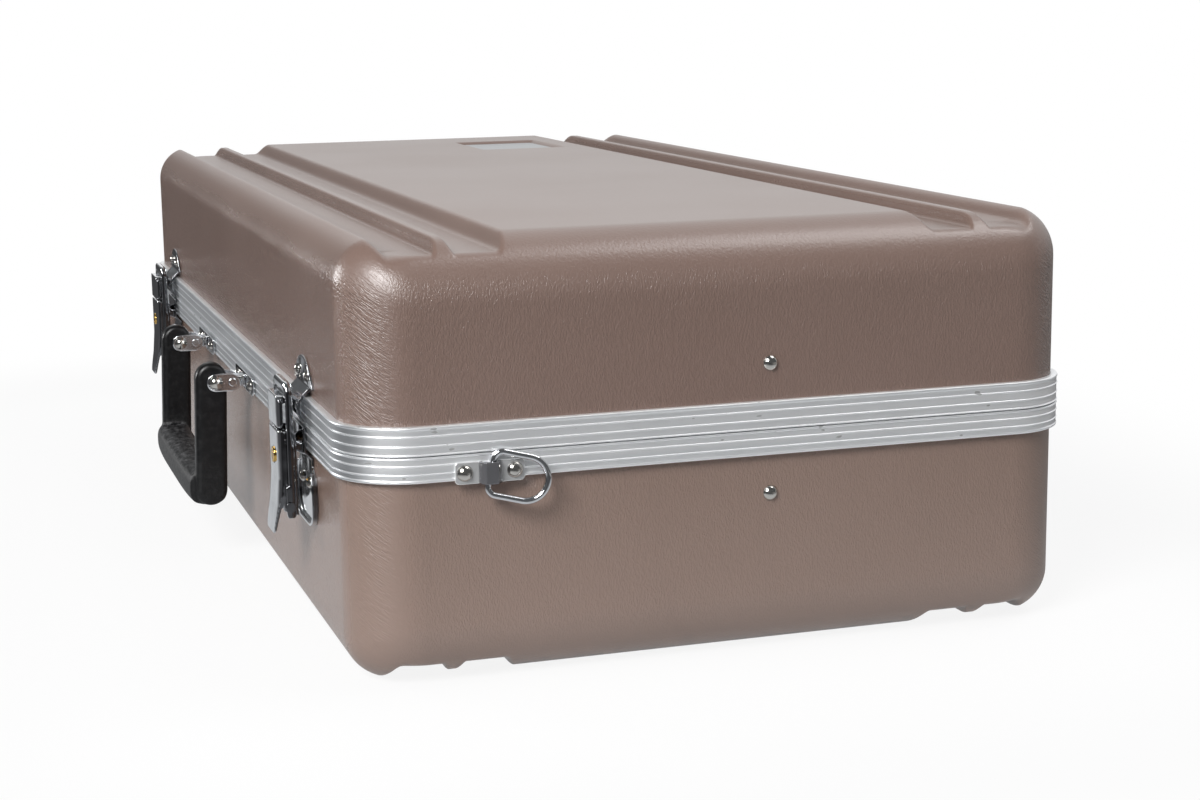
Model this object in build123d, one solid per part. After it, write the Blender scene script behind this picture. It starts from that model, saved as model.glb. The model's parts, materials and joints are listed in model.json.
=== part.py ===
from build123d import *
from math import atan2, cos, degrees, hypot, radians, sin, sqrt
import os

# Hard case for a trumpet: two moulded shells with aluminium bands along the
# parting line, two draw latches and a carrying handle on the front (-Y), two
# hinges at the back (+Y), a strap ring on each end and a folding stay inside.
# The origin is the centre of the bottom resting face. +X runs along the case,
# +Y to the hinges and +Z up. Every length is in millimetres.

os.makedirs("parts", exist_ok=True)

# Shells
case_length = 570.0        # over the bands, along X
case_depth = 300.0         # over the bands, along Y
base_height = 89.5         # resting face to parting plane
lid_height = 78.5          # parting plane to lid top
shell_wall = 3.0
shell_corner = 26.0        # upright corners, in plan
shell_edge = 25.0          # rounding of the top and bottom edges

# Ribbed strips pressed into the lid's top and the base's bottom
field_half = 87.5          # half width of the flat field between the strips
groove_floor = 16.7        # flat floor of each groove
groove_depth = 7.3
groove_bank = 4.0          # run of a groove's sloping side
ridge_width = 8.8          # ridge between two grooves, at its foot
ridge_height = 6.0
ridge_crest = 3.2
rib_round = 1.4            # rounding of crests and groove corners

# Recess for a plate in the lid's top
badge_x = -187.0
badge_y = 46.0
badge_length = 66.0
badge_width = 48.0
badge_depth = 2.2
badge_bank = 3.0
badge_plate_thick = 0.8

# Aluminium bands: an outer leg, a web over the shell's rim, an inner leg, and
# on the base an upstanding tongue that the lid closes over
band_proud = 2.8
base_band_height = 9.9
lid_band_height = 11.1
band_web = 1.5
band_inner_leg = 1.2
band_inner_depth = 8.0
band_gap = 0.4             # dark line between the two bands
band_groove = 0.5          # width of the two fine grooves in each band
band_groove_depth = 0.4
tongue_thick = 1.2
tongue_rise = 4.0
tongue_gap = 0.4

# Fasteners
rivet_head = 6.2           # domed head, diameter
rivet_dome = 1.9           # height of the dome
rivet_shank = 3.2
small_head = 5.0
small_dome = 1.5
run_gap = 0.05             # radial clearance of a pin in what turns on it
free_gap = 0.3             # clearance beside parts that swing past each other
sheet = 1.2                # thickness of pressed steel
step_clear = 0.8           # from a band's edge to where a plate steps off it
strip_corner = 1.5         # corners of the riveted strips
pin_head_thick = 0.7
beyond = 1.0               # how far a cut runs past what it cuts

# Hinges
hinge_x = 170.0
hinge_width = 56.0
hinge_knuckles = 5
knuckle_radius = 2.8
hinge_pin = 2.6
hinge_leaf = 29.0          # reach of a leaf from the pin
hinge_rivet_z = 23.0
hinge_rivet_pitch = 20.0

# Latches
latch_x = 197.0
catch_top = 26.0           # above the parting plane
catch_radius = 20.3
catch_neck = 26.0
catch_foot = 0.9
catch_bulge = 2.2
catch_rivet_z = 19.0
catch_rivet_pitch = 19.0
nose_steps = 6             # flats that make up the nose's bulge
keeper_bottom = 41.0       # base plate, below the parting plane
keeper_width = 38.0
keeper_shoulder = 16.0
keeper_corner = 10.0
keeper_neck = 26.0
keeper_head = 0.8
keeper_rim = 1.4
keeper_rim_start = 3.0     # below the shoulder
keeper_rivet_z = 24.0
keeper_rivet_pitch = 14.0
lever_width = 24.0
lever_front = 13.8         # front face, out from the shell
lever_top = 1.8            # below the parting plane
lever_fold = 21.5
lever_tip = 43.5
lever_flare = 2.6
lever_tip_width = 15.0
lever_tip_round = 5.0
lever_waist = 6.6          # below the fold, where the tail starts to taper
lever_flare_share = 0.35   # part of the flare reached half way down the tail
lever_flange = 6.5
lever_flange_end = 4.0     # below the hasp's pivot
lever_pin_out = 10.3       # lever pivot, out from the shell
lever_pin_z = 6.0
lever_pin = 2.2
ear_radius = 2.0
ear_lean = 60.0            # degrees, underside of the ear from level
hasp_pin_out = 10.3        # hasp pivot, out from the shell
hasp_pin_z = 32.0
hasp_pin = 2.8
hasp_pin_head = 4.2
hasp_top = 17.5            # above the parting plane
hasp_bar_width = 3.3       # depth of the side bars
hasp_bar_thick = 2.0
hasp_bar_out = 9.4         # middle of the side bars, out from the shell
hasp_pad_width = 5.0
hasp_pad_top = 23.5
hasp_pad_end = 4.5         # below the pivot
hasp_pad_round = 1.6
hasp_corner = 5.0
hasp_head = 3.5            # height of the bail's top bar
hasp_head_round = 1.4
hasp_tie = 3.0             # height of the web between plate and bail
hasp_plate_corner = 1.5
hasp_plate_top = 12.0
hasp_plate_foot = 0.6
lock_z = 13.0
lock_diameter = 6.2
lock_proud = 0.6
lock_length = 5.4
lock_cam = 8.0
lock_cam_width = 3.0
keyway_length = 3.6
keyway_width = 0.9
keyway_depth = 1.0

# Handle
handle_x = 61.0            # middle of each end
handle_pin_out = 9.8       # pivot, out from the shell
handle_pin_z = 6.0         # below the parting plane
handle_pin = 2.6
handle_pin_head = 3.8
handle_rivet_out = 17.3
bracket_length = 48.0
bracket_height = 8.0
bracket_rivet = 18.0
loop_width = 8.0
loop_radius = 2.6
cheek_thick = 1.4
cheek_height = 8.2
cheek_end = 4.1
leg_thick = 8.4            # along X
leg_depth = 12.6           # along Y
leg_inner_out = 13.4       # inner face, out from the shell
leg_top = 3.0              # above the parting plane
handle_bottom = 61.0       # below the parting plane
grip_height = 17.0
grip_depth = 15.5
grip_bulge = 4.5
grip_lap = 1.0             # ends of the grip, inside the legs
mould_flat = 0.1           # flat left between two rounded edges

# Strap rings
ring_from_front = 53.6     # middle of the strip, behind the case's front
ring_strip_length = 26.5
ring_strip_height = 8.3
ring_strip_z = 7.0         # middle of the strip, below the parting plane
ring_rivet = 9.5
ring_wire = 2.6
ring_arm = 13.4            # bar to the middle of the bow
ring_half = 8.3            # half the height, wire centres
ring_corner = 3.4
ring_droop = 14.0          # degrees that the ring hangs down from level
ring_swing = 9.0           # degrees that the bow stands off the end
ring_loop_width = 8.0
ring_loop_room = 1.0       # play of the bar in its loop
ring_loop_leg = 2.5        # straight part of the loop, off the band
ring_loop_chamfer = 1.6
ring_room_chamfer = 1.0

# Lid stay: two arms on one end
stay_y = 16.0
stay_z = 25.35             # pivots above and below the parting plane
stay_arm = 118.0
stay_width = 11.0
stay_thick = 1.5
stay_pin = 4.0
stay_pin_head = 8.0
stay_inset = 4.8           # outer face of the lower arm, in from the wall
stay_gap = 0.3
stay_head = 1.0            # thickness of the flat heads
stay_room = 3.5            # from the stay to the padding

# Padded inside
lining_gap = 0.6           # between the tongue and the padding
insert_top = 3.5           # below the parting plane
insert_corner = 18.0
insert_foot = 14.0
bell_y = -62.0
bell_left = -258.0
bell_rim = 66.0
bell_throat = 24.0
bell_run = 140.0
bell_axis_z = 80.0
bell_lip = 10.0            # straight part at the rim
bell_flare = 2.2           # power of the flare's curve
bell_steps = 7
nest_left = -130.0
nest_right = 238.0
nest_width = 100.0
nest_y = -38.0
nest_depth = 34.0
valve_left = -42.0
valve_length = 104.0
valve_width = 166.0
valve_y = -50.0
valve_depth = 38.0
well_y = 91.0
well_width = 80.0
well_depth = 62.0
well_wall = 14.0
well_split = 34.0
pocket_round = 10.0
mouth_x = 108.0
mouth_y = -116.0
mouth_pitch = 44.0
mouth_diameter = 28.0
mouth_depth = 58.0
pad_drop = 14.0            # lowest point of the lid cushion above the parting
pad_rise = 9.3             # rise of the crowned face over half its length
pad_draw = 2.5             # how far the sides draw in between the corners
pad_corner = 16.0
pad_edge = 7.0

# Worked out from the values above
parting = base_height
case_top = base_height + lid_height
end_x = case_length / 2
front_y = case_depth / 2
ring_y = ring_from_front - front_y
shell_x = end_x - band_proud
shell_y = front_y - band_proud
band_corner = shell_corner + band_proud
half_gap = band_gap / 2
rim_drop = half_gap + band_web
inner_leg = band_proud + shell_wall
tongue = inner_leg + band_inner_leg + tongue_gap
band_reach = tongue + tongue_thick
padding = band_reach + lining_gap
bulge_depth = groove_depth + shell_wall
hinge_y = front_y + knuckle_radius + free_gap
stay_outer = shell_x - shell_wall - stay_inset


def plan_slab(inset, low, high):
    """Upright slab whose plan is the case outline drawn in by inset."""
    outline = RectangleRounded(case_length - 2 * inset, case_depth - 2 * inset, band_corner - inset)
    return extrude(Pos(0, 0, low) * outline, high - low)


def plan_ring(outer, inner, low, high):
    """Upright wall between two insets of the case outline."""
    return plan_slab(outer, low, high) - plan_slab(inner, low - beyond, high + beyond)


def bar_x(face_points, x_low, x_high):
    """Bar along X whose section is a polygon of (y, z) points."""
    face = Plane.YZ.offset(x_low) * make_face(Polyline(*face_points, close=True))
    return extrude(face, x_high - x_low, dir=(1, 0, 0))


def bent_sheet(points, thickness, x_low, x_high):
    """Sheet bent in the YZ plane: a mitred ribbon about a line of (y, z) points."""
    left = []
    right = []
    for i, (y, z) in enumerate(points):
        before = points[max(i - 1, 0)]
        after = points[min(i + 1, len(points) - 1)]
        first = (Vector(y, z) - Vector(*before)).normalized() if i else None
        last = (Vector(*after) - Vector(y, z)).normalized() if i + 1 < len(points) else None
        first = first or last
        last = last or first
        normal = Vector(-first.Y - last.Y, first.X + last.X).normalized()
        half = thickness / 2 / normal.dot(Vector(-first.Y, first.X))
        left.append((y + half * normal.X, z + half * normal.Y))
        right.append((y - half * normal.X, z - half * normal.Y))
    return bar_x(left + right[::-1], x_low, x_high)


def pin_x(y, z, radius, x_low, x_high):
    """Round pin along X."""
    return extrude(Plane.YZ.offset(x_low) * Pos(y, z) * Circle(radius), x_high - x_low, dir=(1, 0, 0))


def rivet(point, outward, head, dome, shank, grip):
    """Domed head on a surface, with its shank going in behind it by grip."""
    cap_radius = (head ** 2 / 4 + dome ** 2) / (2 * dome)
    ball = Pos(0, 0, dome - cap_radius) * Sphere(cap_radius)
    cap = ball & Pos(0, 0, dome / 2) * Box(head, head, dome)
    stem = Pos(0, 0, -grip / 2) * Cylinder(shank / 2, grip)
    return Plane(origin=point, z_dir=outward) * (cap + stem)


def mirror_x(shape):
    return mirror(shape, about=Plane.YZ)


def save(name, shapes):
    solids = []
    for shape in shapes:
        solids.extend(shape.solids())
    node = solids[0] if len(solids) == 1 else Compound(children=solids)
    node.label = name
    export_step(node, f"parts/{name}.step")


# ---------------------------------------------------------------- shells

def moulded_block(inset, height):
    """Half-shell block with its rounded face at z = 0 and its open face up."""
    block = plan_slab(inset, 0, height)
    low_edges = block.faces().sort_by(Axis.Z)[0].edges()
    return fillet(low_edges, shell_edge + band_proud - inset)


def rib_cutter(side):
    """What the two grooves of one strip take out, cut into the face at z = 0."""
    foot = field_half
    ridge = foot + groove_floor
    far = ridge + ridge_width + groove_floor
    middle = ridge + ridge_width / 2
    points = [
        (foot - groove_bank, 0),
        (foot, groove_depth),
        (ridge, groove_depth),
        (middle - ridge_crest / 2, groove_depth - ridge_height),
        (middle + ridge_crest / 2, groove_depth - ridge_height),
        (ridge + ridge_width, groove_depth),
        (far, groove_depth),
        (far + groove_bank, 0),
    ]
    face = make_face(Polyline(*points, close=True))
    inner = [v for v in face.vertices() if v.Y > rib_round / 2]
    face = fillet(inner, rib_round)
    first = points[0]
    last = points[-1]
    skirt = make_face(Polyline(first, last, (last[0], -beyond), (first[0], -beyond), close=True))
    section = Plane.YZ.offset(-end_x) * (face + skirt)
    bar = extrude(section, case_length, dir=(1, 0, 0))
    return bar if side > 0 else mirror(bar, about=Plane.XZ)


def rib_backing(side):
    """The same strip seen from inside, where the pressed wall bulges in."""
    foot = field_half - groove_bank / 2
    far = field_half + 2 * groove_floor + ridge_width + groove_bank / 2
    points = [
        (side * (foot - groove_bank), 0),
        (side * foot, bulge_depth),
        (side * far, bulge_depth),
        (side * (far + groove_bank), 0),
    ]
    return bar_x(points, -end_x, end_x)


def shell_half(height):
    """One moulded shell, its ribbed face at z = 0 and its rim at the top."""
    rim = height - rim_drop
    outer = moulded_block(band_proud, rim)
    hollow = Pos(0, 0, shell_wall) * moulded_block(band_proud + shell_wall, height)
    for side in (1, -1):
        outer -= rib_cutter(side)
        hollow -= rib_backing(side)
    return outer - hollow


def badge_recess():
    mouth = Rectangle(badge_length, badge_width)
    floor = Rectangle(badge_length - 2 * badge_bank, badge_width - 2 * badge_bank)
    recess = loft([Pos(0, 0, 0) * mouth, Pos(0, 0, -badge_depth) * floor])
    return Pos(badge_x, badge_y, case_top) * recess


def badge_plate():
    """Bare plate that fills the floor of the recess."""
    length = badge_length - 2 * badge_bank
    width = badge_width - 2 * badge_bank
    foot = case_top - badge_depth
    return Pos(badge_x, badge_y, foot + badge_plate_thick / 2) * Box(length, width, badge_plate_thick)


def lid_from_base(shape):
    """Turn a half made with its closed face at z = 0 over onto the case's top."""
    return Pos(0, 0, case_top) * mirror(shape, about=Plane.XY)


# ---------------------------------------------------------------- bands

def band(height, rim, reach):
    """Aluminium band of one half, drawn downwards from its rim."""
    low = rim - height + half_gap
    body = plan_ring(0, band_proud, low, rim)
    body += plan_ring(0, reach, rim - band_web, rim)
    body += plan_ring(inner_leg, inner_leg + band_inner_leg, rim - band_web - band_inner_depth, rim)
    for third in (1, 2):
        z = low + (rim - low) * third / 3
        body -= plan_ring(-beyond, band_groove_depth, z - band_groove / 2, z + band_groove / 2)
    return body


def base_valance():
    rim = parting - half_gap
    lip = plan_ring(tongue, band_reach, rim - band_web, parting + tongue_rise)
    return band(base_band_height, rim, band_reach) + lip


def lid_valance():
    drawn = band(lid_band_height, parting - half_gap, inner_leg + band_inner_leg)
    return Pos(0, 0, 2 * parting) * mirror(drawn, about=Plane.XY)


# ---------------------------------------------------------------- hinges

def hinge_leaf_path(up):
    """Line of a leaf from the pin, over its band and in onto its shell."""
    band_height = lid_band_height if up > 0 else base_band_height
    on_band = front_y + sheet / 2
    on_shell = shell_y + sheet / 2
    clear = knuckle_radius + free_gap
    return [
        (on_band, parting + up * clear),
        (on_band, parting + up * (band_height + step_clear)),
        (on_shell, parting + up * (band_height + step_clear + band_proud)),
        (on_shell, parting + up * hinge_leaf),
    ]


def hinge_leaf_piece(x, up):
    """One leaf. The base leaf has the even knuckles and the lid leaf the odd."""
    left = x - hinge_width / 2
    leaf = bent_sheet(hinge_leaf_path(up), sheet, left, left + hinge_width)
    pitch = hinge_width / hinge_knuckles
    first = 0 if up > 0 else 1
    for i in range(first, hinge_knuckles, 2):
        low = left + i * pitch + free_gap / 2
        high = left + (i + 1) * pitch - free_gap / 2
        clear = knuckle_radius + free_gap
        tab = [
            (front_y, parting),
            (front_y + sheet, parting),
            (front_y + sheet, parting + up * clear),
            (front_y, parting + up * clear),
        ]
        leaf += bar_x(tab, low, high)
        leaf += pin_x(hinge_y, parting, knuckle_radius, low, high)
    bore = hinge_pin / 2 + (run_gap if up > 0 else 0)
    return leaf - pin_x(hinge_y, parting, bore, left - beyond, left + hinge_width + beyond)


def hinge_rivets(up):
    found = []
    for x in (-hinge_x, hinge_x):
        for i in (-1, 0, 1):
            point = (x + i * hinge_rivet_pitch, shell_y + sheet, parting + up * hinge_rivet_z)
            found.append(rivet(point, (0, 1, 0), small_head, small_dome, rivet_shank, sheet + shell_wall))
    return found


def hinge_pin_piece(x):
    reach = hinge_width / 2
    return pin_x(hinge_y, parting, hinge_pin / 2, x - reach, x + reach)


# ---------------------------------------------------------------- latches

def out(distance):
    """Y of a place that stands off the front shell by distance."""
    return -shell_y - distance


def front_outline(shape_2d, x, z):
    """Deep upright cutter with an XZ outline, centred on a latch."""
    placed = Plane.XZ * Pos(x, z) * shape_2d
    return extrude(placed, case_depth, dir=(0, -1, 0))


def catch_plate(x):
    """Plate on the lid that steps out over the band and ends in a rounded nose."""
    on_shell = out(sheet / 2)
    on_band = out(band_proud + sheet / 2)
    over = lid_band_height + step_clear
    path = [
        (on_shell, parting + catch_top + sheet),
        (on_shell, parting + over + band_proud),
        (on_band, parting + over),
    ]
    for i in range(1, nose_steps + 1):
        share = i / nose_steps
        bulge = 4 * catch_bulge * share * (1 - share)
        path.append((on_band - bulge, parting + over - (over - catch_foot) * share))
    half = catch_radius
    ribbon = bent_sheet(path, sheet, x - half, x + half)
    cap = front_outline(Circle(catch_radius), x, parting + catch_top - catch_radius)
    foot = lid_band_height + band_proud + catch_foot
    upper = front_outline(Rectangle(4 * half, 4 * half), x, parting + foot + 2 * half)
    neck = front_outline(Rectangle(catch_neck, 2 * foot), x, parting)
    return ribbon & ((cap & upper) + neck)


def catch_rivets():
    found = []
    for x in (-latch_x, latch_x):
        for side in (-1, 1):
            point = (x + side * catch_rivet_pitch / 2, out(sheet), parting + catch_rivet_z)
            found.append(rivet(point, (0, -1, 0), small_head, small_dome, rivet_shank, sheet + shell_wall))
    return found


def keeper_plate(x):
    """Latch base plate with a raised rim and two ears for the lever's pin."""
    on_shell = out(sheet / 2)
    on_band = out(band_proud + sheet / 2)
    under = base_band_height + step_clear
    path = [
        (on_band, parting - keeper_head),
        (on_band, parting - under),
        (on_shell, parting - under - band_proud),
        (on_shell, parting - keeper_bottom - sheet),
    ]
    half = keeper_width / 2
    ribbon = bent_sheet(path, sheet, x - half, x + half)
    tall = keeper_bottom - keeper_shoulder
    mid = parting - (keeper_bottom + keeper_shoulder) / 2
    wide = front_outline(RectangleRounded(keeper_width, tall, keeper_corner), x, mid)
    neck = front_outline(Rectangle(keeper_neck, 2 * (keeper_shoulder + keeper_corner)), x, parting)
    plate = ribbon & (wide + neck)
    hollow = RectangleRounded(keeper_width - 2 * sheet, tall - 2 * sheet, keeper_corner - sheet)
    rim = front_outline(RectangleRounded(keeper_width, tall, keeper_corner), x, mid)
    rim -= front_outline(hollow, x, mid)
    rim_mid = parting - keeper_shoulder - keeper_rim_start - keeper_bottom / 2
    rim_zone = Box(2 * keeper_width, keeper_rim, keeper_bottom)
    plate += rim & Pos(x, out(sheet + keeper_rim / 2), rim_mid) * rim_zone
    for side in (-1, 1):
        plate += keeper_ear(x, side)
    return plate


def keeper_ear(x, side):
    """Ear on the base plate, inside the lever's flange."""
    outer = lever_width / 2 - sheet - free_gap
    low = x + (side * outer if side < 0 else outer - sheet)
    pin_y = out(lever_pin_out)
    pin_z = parting - lever_pin_z
    foot_y = out(band_proud + sheet / 2)
    lean = radians(ear_lean)
    web = [
        (pin_y, pin_z + ear_radius),
        (foot_y, pin_z - ear_radius),
        (foot_y, pin_z - 3 * ear_radius),
        (pin_y - ear_radius * cos(lean), pin_z - ear_radius * sin(lean)),
    ]
    ear = bar_x(web, low, low + sheet) + pin_x(pin_y, pin_z, ear_radius, low, low + sheet)
    return ear - pin_x(pin_y, pin_z, lever_pin / 2, low - beyond, low + sheet + beyond)


def keeper_rivets():
    found = []
    for x in (-latch_x, latch_x):
        for side in (-1, 1):
            point = (x + side * keeper_rivet_pitch / 2, out(sheet), parting - keeper_rivet_z)
            found.append(rivet(point, (0, -1, 0), small_head, small_dome, rivet_shank, sheet + shell_wall))
    return found


def lever_pin_piece(x):
    half = lever_width / 2
    return pin_x(out(lever_pin_out), parting - lever_pin_z, lever_pin / 2, x - half, x + half)


def latch_lever(x):
    """Channel-shaped lever with a flared finger tail."""
    front = lever_front - sheet / 2
    path = [
        (out(front), parting - lever_top),
        (out(front), parting - lever_fold),
        (out(front + lever_flare * lever_flare_share), parting - (lever_fold + lever_tip) / 2),
        (out(front + lever_flare), parting - lever_tip),
    ]
    half = lever_width / 2
    face = bent_sheet(path, sheet, x - half, x + half)
    tip_drop = lever_tip - lever_fold
    tail = [
        (-half, lever_fold),
        (half, lever_fold),
        (half, -lever_waist),
        (lever_tip_width / 2, -tip_drop - beyond),
        (-lever_tip_width / 2, -tip_drop - beyond),
        (-half, -lever_waist),
    ]
    outline = fillet(make_face(Polyline(*tail, close=True)).vertices().sort_by(Axis.Y)[:2], lever_tip_round)
    lever = face & front_outline(outline, x, parting - lever_fold)
    for side in (-1, 1):
        low = x + (-half if side < 0 else half - sheet)
        flange = [
            (out(front), parting - lever_top),
            (out(front - lever_flange), parting - lever_top - sheet),
            (out(front - lever_flange), parting - hasp_pin_z - lever_flange_end),
            (out(front), parting - hasp_pin_z - lever_flange_end / 2),
        ]
        lever += bar_x(flange, low, low + sheet)
    left = x - lever_width
    right = x + lever_width
    lever -= pin_x(out(lever_pin_out), parting - lever_pin_z, lever_pin / 2 + run_gap, left, right)
    lever -= pin_x(out(hasp_pin_out), parting - hasp_pin_z, hasp_pin / 2, left, right)
    barrel = Plane.XZ * Pos(x, parting - lock_z) * Circle(lock_diameter / 2 + run_gap)
    return lever - extrude(barrel, case_depth, dir=(0, -1, 0))


def hasp_pins(x):
    """Two headed pins that join the hasp's bars to the lever's flanges."""
    y = out(hasp_pin_out)
    z = parting - hasp_pin_z
    inner = lever_width / 2 - sheet
    outer = lever_width / 2 + free_gap + hasp_bar_thick + free_gap
    shank = pin_x(y, z, hasp_pin / 2, x + inner, x + outer)
    head = pin_x(y, z, hasp_pin_head / 2, x + outer, x + outer + pin_head_thick)
    right = shank + head
    left = Pos(2 * x, 0, 0) * mirror_x(right)
    return [left, right]


def latch_hasp(x):
    """Bail with two side bars and a front plate above the lever."""
    inner = lever_width / 2 + free_gap
    outer = inner + hasp_bar_thick
    bar_end = hasp_pad_top + hasp_pad_round
    tall = 2 * (hasp_top + bar_end)
    bail = front_outline(RectangleRounded(2 * outer, tall, hasp_corner), x, parting - bar_end)
    opening = RectangleRounded(2 * inner, tall - 2 * hasp_head, hasp_corner - hasp_bar_thick)
    bail -= front_outline(opening, x, parting - bar_end)
    window = Pos(x, out(hasp_bar_out), parting - bar_end + tall / 2)
    bail = bail & window * Box(4 * outer, hasp_bar_width, tall)
    bottom = hasp_pin_z + hasp_pad_end
    for side in (-1, 1):
        pad_x = x + side * (inner + outer) / 2
        place = Pos(pad_x, out(hasp_pin_out), parting - (hasp_pad_top + bottom) / 2)
        pad = place * Box(hasp_bar_thick, hasp_pad_width, bottom - hasp_pad_top)
        bail += fillet(pad.edges().filter_by(Axis.X), hasp_pad_round)
    bail = fillet_hasp_top(bail)
    plate_high = hasp_plate_top + hasp_plate_foot
    plate_mid = parting + (hasp_plate_top - hasp_plate_foot) / 2
    plate = front_outline(RectangleRounded(lever_width, plate_high, hasp_plate_corner), x, plate_mid)
    plate = plate & Pos(x, out(lever_front - sheet / 2), plate_mid) * Box(lever_width, sheet, plate_high)
    depth = lever_front - hasp_bar_out + hasp_bar_width / 2
    tie_z = parting + hasp_plate_top - hasp_tie / 2
    tie = Pos(x, out(lever_front - depth / 2), tie_z) * Box(lever_width - 2 * sheet, depth, hasp_tie)
    low = hasp_plate_top - hasp_tie
    high = hasp_top - hasp_head / 2
    riser = Pos(x, out(hasp_bar_out), parting + (low + high) / 2)
    riser = riser * Box(2 * inner + hasp_bar_thick, hasp_bar_width / 2, high - low)
    hasp = bail + plate + tie + riser
    bore = hasp_pin / 2 + run_gap
    return hasp - pin_x(out(hasp_pin_out), parting - hasp_pin_z, bore, x - 2 * outer, x + 2 * outer)


def fillet_hasp_top(bail):
    """Round the long top edges of the bail over, front and back."""
    top = bail.faces().filter_by(Axis.Z).sort_by(Axis.Z)[-1]
    return fillet(top.edges().filter_by(Axis.X), hasp_head_round)


def lock_cylinder(x):
    """Brass key barrel with its keyway and the cam behind the lever's face."""
    front = out(lever_front + lock_proud)
    face = Plane.XZ.offset(-front) * Pos(x, parting - lock_z) * Circle(lock_diameter / 2)
    body = extrude(face, lock_length, dir=(0, 1, 0))
    cam = Pos(x, front + lock_length - sheet / 2, parting - lock_z - lock_cam / 2)
    cam = cam * Box(lock_cam_width, sheet, lock_cam)
    key = Pos(x, front, parting - lock_z) * Box(keyway_width, 2 * keyway_depth, keyway_length)
    return body + cam - key


# ---------------------------------------------------------------- handle

def bracket_piece(x):
    """Strip riveted to the base band, with a loop for one end of the handle."""
    z = parting - handle_pin_z
    strip = Pos(x, -front_y - sheet / 2, z) * Box(bracket_length, sheet, bracket_height)
    strip = fillet(strip.edges().filter_by(Axis.Y), strip_corner)
    pin_y = out(handle_pin_out)
    low = x - loop_width / 2
    neck = [
        (-front_y - sheet / 2, z - loop_radius),
        (-front_y - sheet / 2, z + loop_radius),
        (pin_y, z + loop_radius),
        (pin_y, z - loop_radius),
    ]
    loop = bar_x(neck, low, low + loop_width) + pin_x(pin_y, z, loop_radius, low, low + loop_width)
    bore = handle_pin / 2 + run_gap
    return strip + loop - pin_x(pin_y, z, bore, low - beyond, low + loop_width + beyond)


def bracket_rivets():
    found = []
    for x in (-handle_x, handle_x):
        for side in (-1, 1):
            point = (x + side * bracket_rivet, -front_y - sheet, parting - handle_pin_z)
            found.append(rivet(point, (0, -1, 0), small_head, small_dome, rivet_shank, sheet + inner_leg))
    return found


def cheek_plate(x, side):
    """Plate on one side of a handle end, from the pivot to the big rivet."""
    z = parting - handle_pin_z
    low = x + side * leg_thick / 2 - (cheek_thick if side < 0 else 0)
    pin_y = out(handle_pin_out)
    far_y = out(handle_rivet_out)
    radius = cheek_height / 2
    web = [(pin_y, z - radius), (pin_y, z + radius), (far_y, z + radius), (far_y, z - radius)]
    plate = bar_x(web, low, low + cheek_thick)
    plate += pin_x(pin_y, z, radius, low, low + cheek_thick)
    plate += pin_x(far_y, z, cheek_end, low, low + cheek_thick)
    for y, hole in ((pin_y, handle_pin), (far_y, rivet_shank)):
        plate -= pin_x(y, z, hole / 2, low - beyond, low + cheek_thick + beyond)
    return plate


def handle_pivot_pin(x):
    """Tubular pin through both cheeks and the bracket's loop."""
    y = out(handle_pin_out)
    z = parting - handle_pin_z
    reach = leg_thick / 2 + cheek_thick
    body = pin_x(y, z, handle_pin / 2, x - reach, x + reach)
    for side in (-1, 1):
        low = x + side * reach - (pin_head_thick if side < 0 else 0)
        body += pin_x(y, z, handle_pin_head / 2, low, low + pin_head_thick)
    return body


def handle_rivet(x):
    """Domed rivet through both cheeks and the handle's end."""
    reach = leg_thick / 2 + cheek_thick
    place = (out(handle_rivet_out), parting - handle_pin_z)
    right = rivet((x + reach, *place), (1, 0, 0), rivet_head, rivet_dome, rivet_shank, reach)
    left = rivet((x - reach, *place), (-1, 0, 0), rivet_head, rivet_dome, rivet_shank, reach)
    return left + right


def handle_grip():
    """Moulded handle: two flat legs and a rounded grip that swells outwards."""
    inner = out(leg_inner_out)
    outer = inner - leg_depth
    top = parting + leg_top
    bottom = parting - handle_bottom
    handle = None
    for side in (-1, 1):
        leg = Pos(side * handle_x, (inner + outer) / 2, (top + bottom) / 2)
        leg = leg * Box(leg_thick, leg_depth, top - bottom)
        ends = leg.edges().filter_by(Axis.X)
        leg = fillet(ends.group_by(Axis.Z)[-1], leg_depth / 2 - mould_flat)
        low_outer = leg.edges().filter_by(Axis.X).group_by(Axis.Z)[0].sort_by(Axis.Y)
        leg = fillet(low_outer, leg_depth / 2 - mould_flat)
        handle = leg if handle is None else handle + leg
    grip_z = bottom + grip_height / 2
    grip_y = (inner + outer) / 2
    reach = handle_x + leg_thick / 2 - grip_lap
    spine = ThreePointArc((-reach, grip_y, grip_z), (0, grip_y - grip_bulge, grip_z), (reach, grip_y, grip_z))
    start = Plane(origin=spine @ 0, z_dir=spine % 0, x_dir=(0, 0, 1))
    section = start * Ellipse(grip_height / 2, grip_depth / 2)
    grip = sweep(section, path=spine)
    handle += grip
    z = parting - handle_pin_z
    reach = handle_x + leg_thick
    return handle - pin_x(out(handle_rivet_out), z, rivet_shank / 2, -reach, reach)


# ---------------------------------------------------------------- strap rings

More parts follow.
